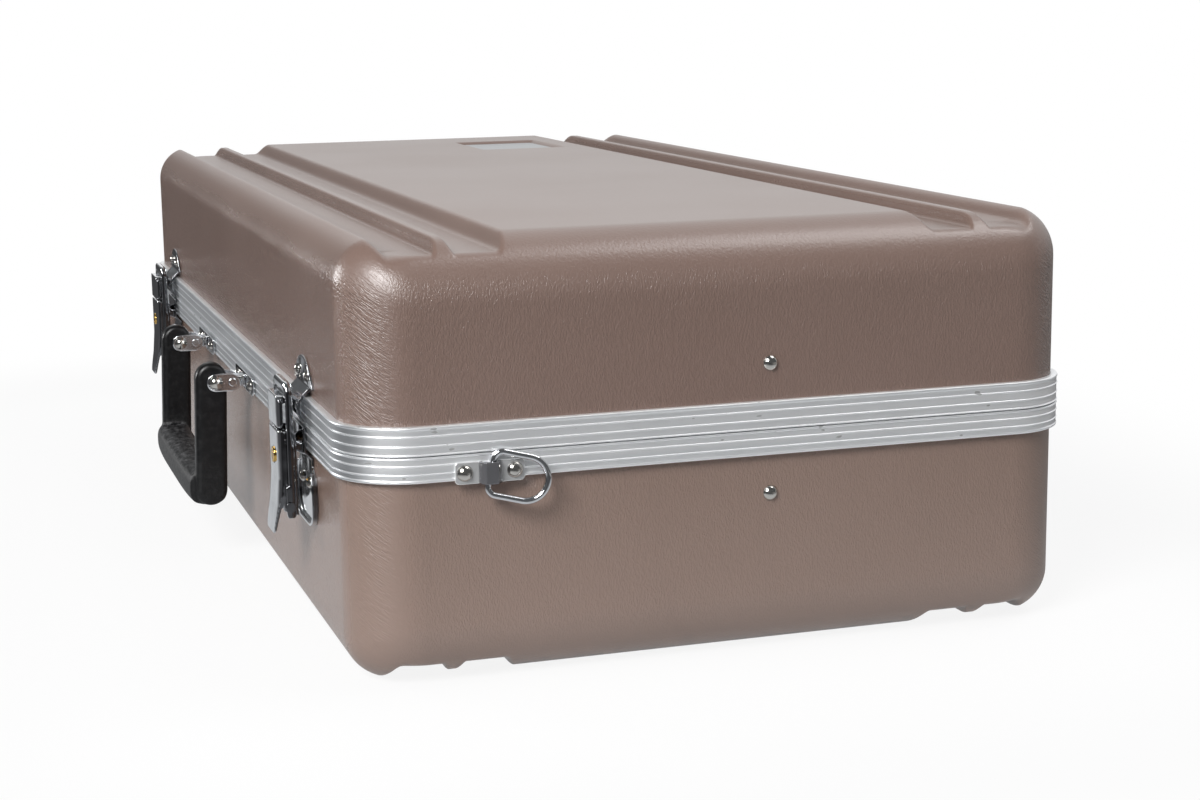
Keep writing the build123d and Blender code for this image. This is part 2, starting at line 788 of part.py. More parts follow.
def ring_strip():
    """Strip on the right end with a loop that holds the ring's straight bar."""
    z = parting - ring_strip_z
    strip = Pos(end_x + sheet / 2, ring_y, z) * Box(sheet, ring_strip_length, ring_strip_height)
    strip = fillet(strip.edges().filter_by(Axis.X), strip_corner)
    half = ring_loop_width / 2
    rise = ring_wire + ring_loop_room
    arch = [
        (end_x, ring_y - half),
        (end_x + ring_loop_leg, ring_y - half),
        (end_x + rise + sheet, ring_y - half + ring_loop_chamfer),
        (end_x + rise + sheet, ring_y + half - ring_loop_chamfer),
        (end_x + ring_loop_leg, ring_y + half),
        (end_x, ring_y + half),
    ]
    room = half - sheet
    hollow = [
        (end_x - beyond, ring_y - room),
        (end_x + ring_loop_leg, ring_y - room),
        (end_x + rise, ring_y - room + ring_room_chamfer),
        (end_x + rise, ring_y + room - ring_room_chamfer),
        (end_x + ring_loop_leg, ring_y + room),
        (end_x - beyond, ring_y + room),
    ]
    low = z - ring_strip_height / 2
    outer = extrude(Pos(0, 0, low) * make_face(Polyline(*arch, close=True)), ring_strip_height, dir=(0, 0, 1))
    space = Pos(0, 0, low - beyond) * make_face(Polyline(*hollow, close=True))
    return strip + outer - extrude(space, ring_strip_height + 2 * beyond, dir=(0, 0, 1))


def ring_axis_place():
    """Middle of the ring's straight bar, inside its loop."""
    return (end_x + (ring_wire + ring_loop_room) / 2, ring_y, parting - ring_strip_z)


def strap_ring():
    """D-shaped wire ring, drooping a little and standing off the end."""
    flat = ring_half - ring_corner
    arm = ring_arm
    bow = ring_arm + ring_half
    path = Polyline((0, -flat), (0, flat))
    path += ThreePointArc((0, flat), corner_point(1), (ring_corner, ring_half))
    path += Line((ring_corner, ring_half), (arm, ring_half))
    path += ThreePointArc((arm, ring_half), (bow, 0), (arm, -ring_half))
    path += Line((arm, -ring_half), (ring_corner, -ring_half))
    path += ThreePointArc((ring_corner, -ring_half), corner_point(-1), (0, -flat))
    wire = Wire(path.edges())
    section = Plane(origin=(0, 0, 0), z_dir=(0, 1, 0)) * Circle(ring_wire / 2)
    ring = sweep(section, path=wire)
    bar = Vector(0, sin(radians(ring_droop)), cos(radians(ring_droop)))
    level = Vector(0, cos(radians(ring_droop)), -sin(radians(ring_droop)))
    reach = level * cos(radians(ring_swing)) + Vector(sin(radians(ring_swing)), 0, 0)
    return Plane(origin=ring_axis_place(), x_dir=reach, z_dir=reach.cross(bar)) * ring


def corner_point(side):
    """Middle of a corner arc of the ring."""
    offset = ring_corner * (1 - sqrt(0.5))
    return (offset, side * (ring_half - offset))


def ring_rivets():
    found = []
    for side in (-1, 1):
        point = (end_x + sheet, ring_y + side * ring_rivet, parting - ring_strip_z)
        found.append(rivet(point, (1, 0, 0), rivet_head, rivet_dome, rivet_shank, sheet + inner_leg))
    return found


# ---------------------------------------------------------------- lid stay

def stay_elbow():
    """Place of the elbow joint with the case shut, towards the front."""
    return (stay_y - sqrt(stay_arm ** 2 - stay_z ** 2), parting)


def stay_arm_piece(up):
    """Flat arm from a wall pivot to the elbow. The upper arm lies further in."""
    outer = stay_outer if up < 0 else stay_outer - stay_thick - stay_gap
    low = outer - stay_thick
    elbow_y, elbow_z = stay_elbow()
    pivot_z = parting + up * stay_z
    run = hypot(stay_y - elbow_y, pivot_z - elbow_z)
    slope = degrees(atan2(pivot_z - elbow_z, stay_y - elbow_y))
    slot = Plane.YZ.offset(low) * Pos(elbow_y, elbow_z) * Rot(0, 0, slope) * Pos(run / 2, 0)
    arm = extrude(slot * SlotCenterToCenter(run, stay_width), stay_thick, dir=(1, 0, 0))
    return arm - pin_x(stay_y, pivot_z, stay_pin / 2 + run_gap, low - beyond, low + stay_thick + beyond)


def stay_elbow_head(up):
    """Flat head of the elbow joint on one arm, facing away from the other."""
    elbow_y, elbow_z = stay_elbow()
    low = stay_outer if up < 0 else stay_outer - 2 * stay_thick - stay_gap - stay_head
    return pin_x(elbow_y, elbow_z, stay_pin_head / 2, low, low + stay_head)


def stay_rivet(up):
    """Rivet through the end wall: domed outside, a spacer and a flat head inside."""
    z = parting + up * stay_z
    inner = stay_outer - stay_thick - stay_gap
    if up > 0:
        inner -= stay_thick + stay_gap
    outside = rivet((shell_x, stay_y, z), (1, 0, 0), rivet_head, rivet_dome, stay_pin, shell_wall)
    wall = shell_x - shell_wall
    arm_face = stay_outer if up < 0 else stay_outer - stay_thick - stay_gap
    shank = pin_x(stay_y, z, stay_pin / 2, inner, wall)
    spacer = pin_x(stay_y, z, stay_pin_head / 2, arm_face + stay_gap, wall)
    head = pin_x(stay_y, z, stay_pin_head / 2, inner - stay_head, inner)
    return outside + shank + spacer + head


# ---------------------------------------------------------------- padding

def bell_room():
    """Flared space round the bell, turned about an axis along X."""
    rim_x = bell_left + bell_lip
    points = [(bell_left, 0), (bell_left, bell_rim), (rim_x, bell_rim)]
    for i in range(1, bell_steps + 1):
        share = i / bell_steps
        radius = bell_throat + (bell_rim - bell_throat) * (1 - share) ** bell_flare
        points.append((rim_x + bell_run * share, radius))
    points.append((rim_x + bell_run, 0))
    face = Plane.XZ * make_face(Polyline(*points, close=True))
    return Pos(0, bell_y, bell_axis_z) * revolve(face, Axis.X)


def pocket(x_low, x_high, y, width, depth):
    """Straight-sided pocket in the insert's top, with rounded corners."""
    top = parting - insert_top
    outline = RectangleRounded(x_high - x_low, width, pocket_round)
    floor = Pos((x_low + x_high) / 2, y, top - depth) * outline
    return extrude(floor, depth + insert_top)


def padding_right():
    """Where the padding stops on the right, beside the lid stay."""
    return stay_outer - 2 * stay_thick - 2 * stay_gap - stay_room


def base_insert():
    """Plush-covered block with the trumpet's nest, two wells and two sockets."""
    left = -end_x + padding
    right = padding_right()
    depth = case_depth - 2 * padding
    low = bulge_depth
    high = parting - insert_top
    outline = Pos((left + right) / 2, 0, low) * RectangleRounded(right - left, depth, insert_corner)
    block = extrude(outline, high - low)
    block = fillet(block.faces().sort_by(Axis.Z)[0].edges(), insert_foot)
    block -= bell_room()
    block -= pocket(nest_left, nest_right, nest_y, nest_width, nest_depth)
    block -= pocket(valve_left, valve_left + valve_length, valve_y, valve_width, valve_depth)
    block -= pocket(left + well_wall, well_split - well_wall / 2, well_y, well_width, well_depth)
    block -= pocket(well_split + well_wall / 2, right - well_wall, well_y, well_width, well_depth)
    for i in (0, 1):
        floor = Pos(mouth_x + i * mouth_pitch, mouth_y, high - mouth_depth)
        block -= extrude(floor * Circle(mouth_diameter / 2), mouth_depth + insert_top)
    return block


def lid_cushion():
    """Cushion in the lid: crowned face, sides drawn in, hollowed for the bell."""
    left = -end_x + padding
    right = padding_right()
    half = front_y - padding
    middle = (left + right) / 2
    edges = [
        ThreePointArc((left, -half), (middle, -half + pad_draw), (right, -half)),
        ThreePointArc((right, -half), (right - pad_draw, 0), (right, half)),
        ThreePointArc((right, half), (middle, half - pad_draw), (left, half)),
        ThreePointArc((left, half), (left + pad_draw, 0), (left, -half)),
    ]
    outline = fillet(make_face(edges).vertices(), pad_corner)
    low = parting + pad_drop
    high = case_top - bulge_depth
    block = extrude(Pos(0, 0, low) * outline, high - low)
    block = fillet(block.faces().sort_by(Axis.Z)[-1].edges(), insert_foot)
    block = fillet(block.faces().sort_by(Axis.Z)[0].edges(), pad_edge)
    reach = (right - left) / 2
    radius = (reach ** 2 + pad_rise ** 2) / (2 * pad_rise)
    crown = Pos(middle, 0, low + radius) * Sphere(radius)
    return block & crown - bell_room()


# ---------------------------------------------------------------- assembly

def main():
    base_end_rivet = stay_rivet(-1)
    lid_end_rivet = stay_rivet(1)
    right_ring_rivets = ring_rivets()
    left_ring_rivets = [mirror_x(r) for r in right_ring_rivets]
    base_hinge_rivets = hinge_rivets(-1)
    lid_hinge_rivets = hinge_rivets(1)
    front_catch_rivets = catch_rivets()
    front_keeper_rivets = keeper_rivets()
    front_bracket_rivets = bracket_rivets()
    band_rivets = right_ring_rivets + left_ring_rivets + front_bracket_rivets

    base_holes = [base_end_rivet] + base_hinge_rivets + front_keeper_rivets + band_rivets
    base_shell = shell_half(base_height)
    for part in base_holes:
        base_shell -= part
    lid_shell = lid_from_base(shell_half(lid_height)) - badge_recess()
    for part in [lid_end_rivet] + lid_hinge_rivets + front_catch_rivets:
        lid_shell -= part
    base_band = base_valance()
    for part in band_rivets:
        base_band -= part
    save("base_shell", [base_shell])
    save("lid_shell", [lid_shell])
    save("base_valance", [base_band])
    save("lid_valance", [lid_valance()])
    save("badge_plate", [badge_plate()])
    save("base_insert", [base_insert()])
    save("lid_cushion", [lid_cushion()])

    for name, x in (("left", -hinge_x), ("right", hinge_x)):
        base_leaf = hinge_leaf_piece(x, -1)
        lid_leaf = hinge_leaf_piece(x, 1)
        for part in base_hinge_rivets:
            base_leaf -= part
        for part in lid_hinge_rivets:
            lid_leaf -= part
        save(f"hinge_base_leaf_{name}", [base_leaf])
        save(f"hinge_lid_leaf_{name}", [lid_leaf])
        save(f"hinge_pin_{name}", [hinge_pin_piece(x)])
    save("hinge_base_rivets", base_hinge_rivets)
    save("hinge_lid_rivets", lid_hinge_rivets)

    for name, x in (("left", -latch_x), ("right", latch_x)):
        catch = catch_plate(x)
        for part in front_catch_rivets:
            catch -= part
        keeper = keeper_plate(x)
        for part in front_keeper_rivets:
            keeper -= part
        save(f"latch_catch_{name}", [catch])
        save(f"latch_base_plate_{name}", [keeper])
        save(f"latch_lever_{name}", [latch_lever(x)])
        save(f"latch_lever_pin_{name}", [lever_pin_piece(x)])
        save(f"latch_hasp_{name}", [latch_hasp(x)])
        save(f"latch_hasp_pins_{name}", hasp_pins(x))
        save(f"lock_cylinder_{name}", [lock_cylinder(x)])
    save("latch_catch_rivets", front_catch_rivets)
    save("latch_base_rivets", front_keeper_rivets)

    for name, x in (("left", -handle_x), ("right", handle_x)):
        bracket = bracket_piece(x)
        for part in front_bracket_rivets:
            bracket -= part
        save(f"handle_bracket_{name}", [bracket])
        save(f"handle_cheek_{name}_outer", [cheek_plate(x, -1 if x < 0 else 1)])
        save(f"handle_cheek_{name}_inner", [cheek_plate(x, 1 if x < 0 else -1)])
    save("handle_bracket_rivets", front_bracket_rivets)
    save("handle_pivot_pins", [handle_pivot_pin(-handle_x), handle_pivot_pin(handle_x)])
    save("handle_rivets", [handle_rivet(-handle_x), handle_rivet(handle_x)])
    save("handle_grip", [handle_grip()])

    strip = ring_strip()
    for part in right_ring_rivets:
        strip -= part
    ring = strap_ring()
    save("strap_ring_strip_right", [strip])
    save("strap_ring_strip_left", [mirror_x(strip)])
    save("strap_ring_right", [ring])
    save("strap_ring_left", [mirror_x(ring)])
    save("strap_ring_rivets", right_ring_rivets + left_ring_rivets)

    save("stay_lower_arm", [stay_arm_piece(-1)])
    save("stay_upper_arm", [stay_arm_piece(1)])
    save("stay_elbow_head_lower", [stay_elbow_head(-1)])
    save("stay_elbow_head_upper", [stay_elbow_head(1)])
    save("stay_lower_rivet", [base_end_rivet])
    save("stay_upper_rivet", [lid_end_rivet])


main()
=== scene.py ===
# %% [markdown]
# # A moulded trumpet case
#
# The case is a hard shell in two halves, pressed from sheet plastic with a
# leather grain. Aluminium bands close the edges, chromed latches and a black
# handle sit on the front, and a plush nest holds the instrument.
#
# The frame that is loaded first holds every rigid piece at its real size, in
# metres, with +X along the case, -Y to the front and +Z up. What follows gives
# these pieces their finish, and makes the pieces whose look needs more than
# their plain solid has: the shells, the bands, the handle and the padding.

# %% Load the frame
import json

import bmesh
import bpy
import numpy as np
from mathutils import Matrix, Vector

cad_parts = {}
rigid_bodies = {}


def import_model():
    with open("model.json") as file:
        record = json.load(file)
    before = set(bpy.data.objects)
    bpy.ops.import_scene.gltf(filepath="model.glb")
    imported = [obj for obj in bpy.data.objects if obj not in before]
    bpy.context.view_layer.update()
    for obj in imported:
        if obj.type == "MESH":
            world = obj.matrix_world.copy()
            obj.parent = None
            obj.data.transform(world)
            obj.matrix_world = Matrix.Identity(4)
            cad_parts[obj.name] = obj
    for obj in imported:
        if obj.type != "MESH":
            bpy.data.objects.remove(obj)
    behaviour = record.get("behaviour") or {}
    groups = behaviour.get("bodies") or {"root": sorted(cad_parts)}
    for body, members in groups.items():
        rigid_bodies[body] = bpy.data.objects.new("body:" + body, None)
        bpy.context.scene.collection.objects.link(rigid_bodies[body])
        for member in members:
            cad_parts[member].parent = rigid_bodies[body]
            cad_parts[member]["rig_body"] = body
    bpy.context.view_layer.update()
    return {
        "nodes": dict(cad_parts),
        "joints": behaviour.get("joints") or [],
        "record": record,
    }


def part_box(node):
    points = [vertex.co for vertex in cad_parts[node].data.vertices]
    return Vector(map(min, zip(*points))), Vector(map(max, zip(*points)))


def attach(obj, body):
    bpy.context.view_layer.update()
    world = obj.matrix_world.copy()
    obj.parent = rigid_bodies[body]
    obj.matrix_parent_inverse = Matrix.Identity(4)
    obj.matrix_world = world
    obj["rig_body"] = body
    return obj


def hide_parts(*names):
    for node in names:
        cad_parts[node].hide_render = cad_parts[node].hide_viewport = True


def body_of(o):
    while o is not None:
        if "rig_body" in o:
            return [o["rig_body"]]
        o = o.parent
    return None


for leftover in list(bpy.data.objects):
    bpy.data.objects.remove(leftover)
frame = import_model()
mm = 0.001
print("pieces in the frame:", len(frame["nodes"]))

# %% [markdown]
# ## Sizes, read from the frame
#
# A size that the frame already holds isn't typed again. The parting plane is
# the height of the lid's hinge, and the shells' outline is the box of the base
# shell. Only what no box can tell, such as a corner's radius, is written here.

# %% Main sizes
joint_places = {joint["name"]: joint["pos_m"] for joint in frame["joints"]}
parting = joint_places["lid_hinge"][2]
shell_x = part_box("base_shell")[1].x
shell_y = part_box("base_shell")[1].y
band_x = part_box("base_valance")[1].x
band_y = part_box("base_valance")[1].y
case_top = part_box("lid_shell")[1].z
shell_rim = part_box("base_shell")[1].z
band_proud = band_x - shell_x
shell_corner = 26 * mm
shell_edge = 25 * mm
long_edge = 18 * mm
shell_wall = 3 * mm
print("case", round(2 * band_x / mm), "x", round(2 * band_y / mm), "x", round(case_top / mm), "mm")

# %% [markdown]
# ## Meshes from arrays
#
# Every new piece is a grid of points that numpy works out in one go. The faces
# of such a grid are the same for any shape: point k joins its neighbour in the
# row and in the next row. Squares whose corners fall together, as where a round
# corner shrinks to a point, are written as triangles, so no face has a stray
# edge.

# %% Faces of a grid
def grid_faces(numbers, closed=False):
    """Squares between neighbouring rows and columns of an array of point numbers."""
    if closed:
        numbers = np.concatenate([numbers, numbers[:, :1]], axis=1)
    corners = [numbers[:-1, :-1], numbers[:-1, 1:], numbers[1:, 1:], numbers[1:, :-1]]
    return np.stack([c.ravel() for c in corners], axis=1)


def tidy_faces(faces):
    """Faces as lists, with corners that repeat their neighbour left out."""
    repeats = faces == np.roll(faces, 1, axis=1)
    whole = ~repeats.any(axis=1)
    lists = faces[whole].tolist()
    for face, repeat in zip(faces[~whole], repeats[~whole]):
        kept = face[~repeat].tolist()
        if len(kept) > 2:
            lists.append(kept)
    return lists


print("a grid of 3 by 4 points has", len(grid_faces(np.arange(12).reshape(3, 4))), "faces")

# %% [markdown]
# ## A mesh that rides on a body
#
# A face points to the side from which its corners run anticlockwise, and a
# closed surface has to point outwards everywhere. The volume between each
# triangle and the origin, with its sign, adds up to the volume that the surface
# holds. Where that sum is negative the surface is inside out, and the order of
# all corners is turned round. A finished piece then rides on one moving body,
# has a slot for its finish, and hides the frame's pieces that it stands for.

# %% Mesh helpers
def inside_volume(points, faces):
    """Volume that closed faces hold, negative where they face inwards.

    Each four-sided face counts as two triangles a, b, c, and each triangle adds a
    sixth of a dot (b cross c).
    """
    volume = 0.0
    for second, third in ((1, 2), (2, 3)):
        a, b, c = points[faces[:, 0]], points[faces[:, second]], points[faces[:, third]]
        volume += np.einsum("ij,ij->", a, np.cross(b, c)) / 6
    return volume


def mesh_piece(name, points, faces, finish, body, nodes=(), crease=None):
    """Puts a closed surface into a mesh that rides on a body and takes a slot's finish."""
    if inside_volume(points, faces) < 0:
        faces = faces[:, ::-1]
    mesh = bpy.data.meshes.new(name)
    mesh.from_pydata(points.tolist(), [], tidy_faces(faces))
    mesh.polygons.foreach_set("use_smooth", np.full(len(mesh.polygons), True))
    if crease:
        mesh.set_sharp_from_angle(angle=np.radians(crease))
    mesh.update()
    piece = bpy.data.objects.new(name, mesh)
    bpy.context.scene.collection.objects.link(piece)
    piece.data.materials.append(finish)
    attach(piece, body)
    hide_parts(*nodes)
    print(name, len(mesh.vertices), "points", len(mesh.polygons), "faces")
    return piece


def mesh_places(mesh):
    """Places of a mesh's points as an array."""
    places = np.empty(len(mesh.vertices) * 3)
    mesh.vertices.foreach_get("co", places)
    return places.reshape(-1, 3)


def baked_mesh(piece):
    """What a piece's modifiers make of its mesh, as a new mesh."""
    return bpy.data.meshes.new_from_object(piece.evaluated_get(bpy.context.evaluated_depsgraph_get()))


# %% [markdown]
# ## Soft joins between surfaces
#
# A pressed groove doesn't cut the sheet with a sharp edge: the plastic bends
# round it. A depth below the top is worked out for each feature on its own, and
# the deeper one wins, with the change spread over a little distance. That is a
# smooth maximum: the larger value, plus a bump where both are nearly equal.

# %% Smooth maximum and minimum
def soft_max(a, b, blend):
    """Larger of a and b, rounded over where they differ by less than blend."""
    near = np.clip(blend - np.abs(a - b), 0, None) / blend
    return np.maximum(a, b) + near ** 2 * blend / 4


def soft_min(a, b, blend):
    """Smaller of a and b, rounded in the same way."""
    return -soft_max(-a, -b, blend)


def soft_step(value, low, high):
    """0 below low, 1 above high, and an S-shaped rise between them."""
    share = np.clip((value - low) / (high - low), 0, 1)
    return share ** 2 * (3 - 2 * share)


print("soft maximum of 1 and 1 over a blend of 2:", soft_max(1.0, 1.0, 2.0))

# %% [markdown]
# ## Finishes as expressions
#
# A material's maths is easier to read as a formula than as a list of nodes. The
# class below wraps one socket, and its operators add Math nodes, so that
# `1 - mask * 0.4` is written as it is meant. The reflected forms at its end are
# what Python calls when the plain number stands first.

# %% Sockets with operators
class Signal:
    """One output of a node. +, -, * and abs() on it add Math nodes."""

    def __init__(self, nodes, socket):
        self.nodes = nodes
        self.socket = socket

    def maths(self, operation, first, second):
        """The output of a Math node that works on two sockets or numbers."""
        return self.nodes.add("ShaderNodeMath", {"operation": operation}, {0: first, 1: second})

    def __add__(self, other):
        return self.maths("ADD", self, other)

    def __sub__(self, other):
        return self.maths("SUBTRACT", self, other)

    def __rsub__(self, other):
        return self.maths("SUBTRACT", other, self)

    def __mul__(self, other):
        return self.maths("MULTIPLY", self, other)

    def __abs__(self):
        return self.maths("ABSOLUTE", self, 0)

    __radd__ = __add__
    __rmul__ = __mul__


# %% [markdown]
# ## One way to add a node
#
# All other nodes come from one method. It sets a node's own settings first,
# because a node such as Mix shows other sockets once its data type is changed,
# and then it sets or links the sockets. The short methods below it are names
# for the nodes that almost every finish here needs.

# %% Node trees
class Nodes:
    """A node tree with one method that adds nodes, and names for the usual ones."""

    def __init__(self, tree):
        self.tree = tree

    def add(self, kind, settings=None, sockets=None, output=0):
        """A node of a kind, its settings made first, then its sockets set or linked."""
        node = self.tree.nodes.new(kind)
        for key, value in (settings or {}).items():
            setattr(node, key, value)
        for key, value in (sockets or {}).items():
            self.feed(node.inputs[key], value)
        return Signal(self, node.outputs[output])

    def feed(self, target, value):
        """Links a socket to a signal, or sets it to a number, a colour or a vector."""
        if isinstance(value, Signal):
            self.tree.links.new(value.socket, target)
        else:
            target.default_value = value

    def parts(self, vector):
        """The x, y and z of a vector."""
        return [self.add("ShaderNodeSeparateXYZ", {}, {0: vector}, axis) for axis in range(3)]

    def stretched(self, vector, x, y, z):
        """A vector with each part multiplied by its own number."""
        return self.add("ShaderNodeVectorMath", {"operation": "MULTIPLY"}, {0: vector, 1: (x, y, z)})

    def noise(self, vector, scale, detail=2.0, warp=0.0):
        """Smooth random values around 0.5, with about scale waves to a metre."""
        sockets = {"Vector": vector, "Scale": scale, "Detail": detail, "Distortion": warp}
        return self.add("ShaderNodeTexNoise", {}, sockets)

    def rise(self, value, low, high, start=0.0, end=1.0):
        """An S-shaped change from start, below low, to end, above high."""
        sockets = {"Value": value, "From Min": low, "From Max": high, "To Min": start, "To Max": end}
        return self.add("ShaderNodeMapRange", {"interpolation_type": "SMOOTHSTEP"}, sockets)

    def blend(self, share, first, second):
        """Colour between first and second."""
        sockets = {0: share, 6: first, 7: second}
        return self.add("ShaderNodeMix", {"data_type": "RGBA"}, sockets, 2)

    def bump(self, height, distance, normal=None):
        """Normal of a surface whose height changes by up to distance."""
        sockets = {"Height": height, "Distance": distance}
        if normal:
            sockets["Normal"] = normal
        return self.add("ShaderNodeBump", {}, sockets)

    def rounded(self, radius):
        """Normal that rounds sharp edges by a radius."""
        return self.add("ShaderNodeBevel", {"samples": 6}, {"Radius": radius})


# %% [markdown]
# ## A finish in the making
#
# Every material of the case is one Principled shader. What is the same all over
# the surface is a constant on the shader's own sockets. What changes from place
# to place is worked out from the object's own coordinates and from the way the
# surface faces, so that it moves with the piece.

# %% Finishes
class Finish(Nodes):
    """A material in the making: one principled shader and the nodes that feed it."""

    def __init__(self, name, **constants):
        self.material = bpy.data.materials.new(name)
        self.material.use_nodes = True
        super().__init__(self.material.node_tree)
        self.shader = self.tree.nodes["Principled BSDF"]
        for socket, value in constants.items():
            self.shader.inputs[socket.replace("_", " ")].default_value = value
        self.place = self.add("ShaderNodeTexCoord", output="Object")
        self.facing = self.add("ShaderNodeTexCoord", output="Normal")

    def surface(self, **links):
        """Feeds the shader's sockets that change over the surface."""
        for socket, value in links.items():
            self.feed(self.shader.inputs[socket.replace("_", " ")], value)
        print(self.material.name, len(self.tree.nodes), "nodes")
        return self.material


# %% [markdown]
# ## Camera
#
# The camera stands where the photograph was taken: beside the right end, a
# little in front of it and above it. It could be placed by eye, but then every
# length would be a guess too, so its turn, dip and lens were found by fitting
# the case's edges. The rotation is built from the camera's own three axes.

# %% Camera
camera_place = np.array([1039.7, -297.6, 254.5]) * mm
camera_turn = np.radians(72.07)
camera_dip = np.radians(10.61)
camera_roll = np.radians(-0.78)
lens_in_frame_widths = 2177.3 / 1200
sensor_width = 36.0

level_right = np.array([np.cos(camera_turn), np.sin(camera_turn), 0])
level_front = np.array([-np.sin(camera_turn), np.cos(camera_turn), 0])
look = np.cos(camera_dip) * level_front - np.array([0, 0, np.sin(camera_dip)])
above = np.cross(level_right, look)
right = np.cos(camera_roll) * level_right + np.sin(camera_roll) * above
upright = np.cos(camera_roll) * above - np.sin(camera_roll) * level_right

camera_data = bpy.data.cameras.new("photograph_view")
camera_data.sensor_width = sensor_width
camera_data.lens = lens_in_frame_widths * sensor_width
camera = bpy.data.objects.new("photograph_view", camera_data)
camera_axes = np.eye(4)
camera_axes[:3] = np.column_stack([right, upright, -look, camera_place])
camera.matrix_world = Matrix(camera_axes.tolist())
bpy.context.scene.collection.objects.link(camera)
bpy.context.scene.camera = camera
print("camera at", camera_place / mm, "mm, lens", round(camera_data.lens, 1), "mm")

# %% [markdown]
# ## Floor
#
# The case stands on a white table in a dark studio. For the camera the table is
# white by its own light, which Light Path tells apart, but near the case a part
# of it is a lit surface, and that part keeps the case's shadow. Mirrored rays
# see the table too: pale near the case, dark in front and at the sides, and
# mid grey far behind. The polished latches mirror the dark part, and the rear
# corner of the case the grey one.

# %% Floor
bpy.context.scene.view_settings.view_transform = "Standard"
floor_half = 30.0
floor_mesh = bpy.data.meshes.new("studio_floor")
floor_points = [(x * floor_half, y * floor_half, 0) for x, y in [(-1, -1), (1, -1), (1, 1), (-1, 1)]]
floor_mesh.from_pydata(floor_points, [], [(0, 1, 2, 3)])
floor = bpy.data.objects.new("studio_floor", floor_mesh)
bpy.context.scene.collection.objects.link(floor)

table = Finish("studio_table", Roughness=0.9)
folded = table.add("ShaderNodeVectorMath", {"operation": "ABSOLUTE"}, {0: table.place})
outside = table.add("ShaderNodeVectorMath", {"operation": "SUBTRACT"}, {0: folded, 1: (band_x, band_y, 0)})
clear = table.add("ShaderNodeVectorMath", {"operation": "MAXIMUM"}, {0: outside, 1: (0, 0, 0)})
away = table.add("ShaderNodeVectorMath", {"operation": "LENGTH"}, {0: clear}, output=1)
near = table.rise(away, 0.03, 0.34, 1.0, 0.0)
table.surface(Base_Color=table.blend(near, (0.15, 0.15, 0.155, 1), (0.78, 0.78, 0.78, 1)))
seen = table.add("ShaderNodeLightPath", output="Is Camera Ray")
mirrored = table.add("ShaderNodeLightPath", output="Is Glossy Ray")
through = table.add("ShaderNodeLightPath", output="Is Transmission Ray")
own_white = table.rise(near, 0, 1, 1.0, 0.88)
mirror_white = table.rise(near, 0, 1, 0.80, 0.85)
share = seen * own_white + (mirrored + through) * mirror_white
rear = table.rise(table.parts(table.place)[1], 0.2, 0.7)
far_colour = table.blend(rear, (0.03, 0.03, 0.032, 1), (0.42, 0.41, 0.40, 1))
mirror_colour = table.blend(near, far_colour, (0.56, 0.58, 0.60, 1))
white_or_mirror = table.blend(seen, mirror_colour, (1, 1, 1, 1))
glow = table.add("ShaderNodeEmission", {}, {"Color": white_or_mirror, "Strength": 1.0})
lit = Signal(table, table.shader.outputs[0])
both = table.add("ShaderNodeMixShader", {}, {0: share, 1: lit, 2: glow})
table.feed(table.tree.nodes["Material Output"].inputs["Surface"], both)
floor.data.materials.append(table.material)
print("floor", round(2 * floor_half), "m wide")

# %% [markdown]
# ## Sky
#
# The sky is white for the camera. As a light it is bright on the far side of
# the case, where the top mirrors it, and dim everywhere else, so that polished
# metal has something dark to mirror. How near a direction lies to the bright
# side is the dot product of the two. Mirrored and refracted rays see the white
# on that side only.

# %% Sky
world = bpy.data.worlds.new("studio")
bpy.context.scene.world = world
world.use_nodes = True
sky = Nodes(world.node_tree)
heading = sky.add("ShaderNodeTexCoord", output="Generated")
bright_side = (-0.66, 0.66, 0.36)
nearness = {0: heading, 1: bright_side}
towards = sky.add("ShaderNodeVectorMath", {"operation": "DOT_PRODUCT"}, nearness, output=1)
strength = sky.rise(towards, 0.60, 0.80, 0.12, 0.92)
soft = sky.add("ShaderNodeBackground", {}, {"Color": (0.94, 0.97, 1.0, 1), "Strength": strength})
white = sky.add("ShaderNodeBackground", {}, {"Color": (1, 1, 1, 1), "Strength": 1.0})
sky_seen = sky.add("ShaderNodeLightPath", output="Is Camera Ray")
sky_mirrored = sky.add("ShaderNodeLightPath", output="Is Glossy Ray")
sky_through = sky.add("ShaderNodeLightPath", output="Is Transmission Ray")
sky_share = sky_seen + (sky_mirrored + sky_through) * sky.rise(towards, 0.60, 0.80, 0.0, 0.9)
sky_light = sky.add("ShaderNodeMixShader", {}, {0: sky_share, 1: soft, 2: white})
sky.feed(sky.tree.nodes["World Output"].inputs["Surface"], sky_light)
print("sky,", len(sky.tree.nodes), "nodes")


# %% [markdown]
# ## Lamps
#
# Three soft lamps light the case. The key lamp stands between its front and the
# camera, and makes the broad highlight on the near corner. The side lamp stands
# low in front, towards the left end, and gives the thin one. The back lamp is
# high behind the case, and its mirror image brightens the top. Each is placed by
# its bearing and height as seen from the case, and an area lamp shines along its
# own -Z axis, so its +Z axis is made to point away from the case.

# %% Lamps
lamp_target = [0, 0, 0.1]


def soft_lamp(name, bearing, height, distance, size, watts):
    """Square lamp that faces the case, from a bearing (0 is the front, 90 the right end)."""
    turn = np.radians(bearing)
    lift = np.radians(height)
    away = np.array([np.sin(turn) * np.cos(lift), -np.cos(turn) * np.cos(lift), np.sin(lift)])
    side = np.cross([0, 0, 1.0], away)
    side = side / np.linalg.norm(side)
    data = bpy.data.lights.new(name, "AREA")
    data.size = size
    data.energy = watts
    lamp = bpy.data.objects.new(name, data)
    axes = np.eye(4)
    axes[:3] = np.column_stack([side, np.cross(away, side), away, away * distance + lamp_target])
    lamp.matrix_world = Matrix(axes.tolist())
    bpy.context.scene.collection.objects.link(lamp)
    print(name, watts, "W at", np.round(axes[:3, 3], 2), "m")


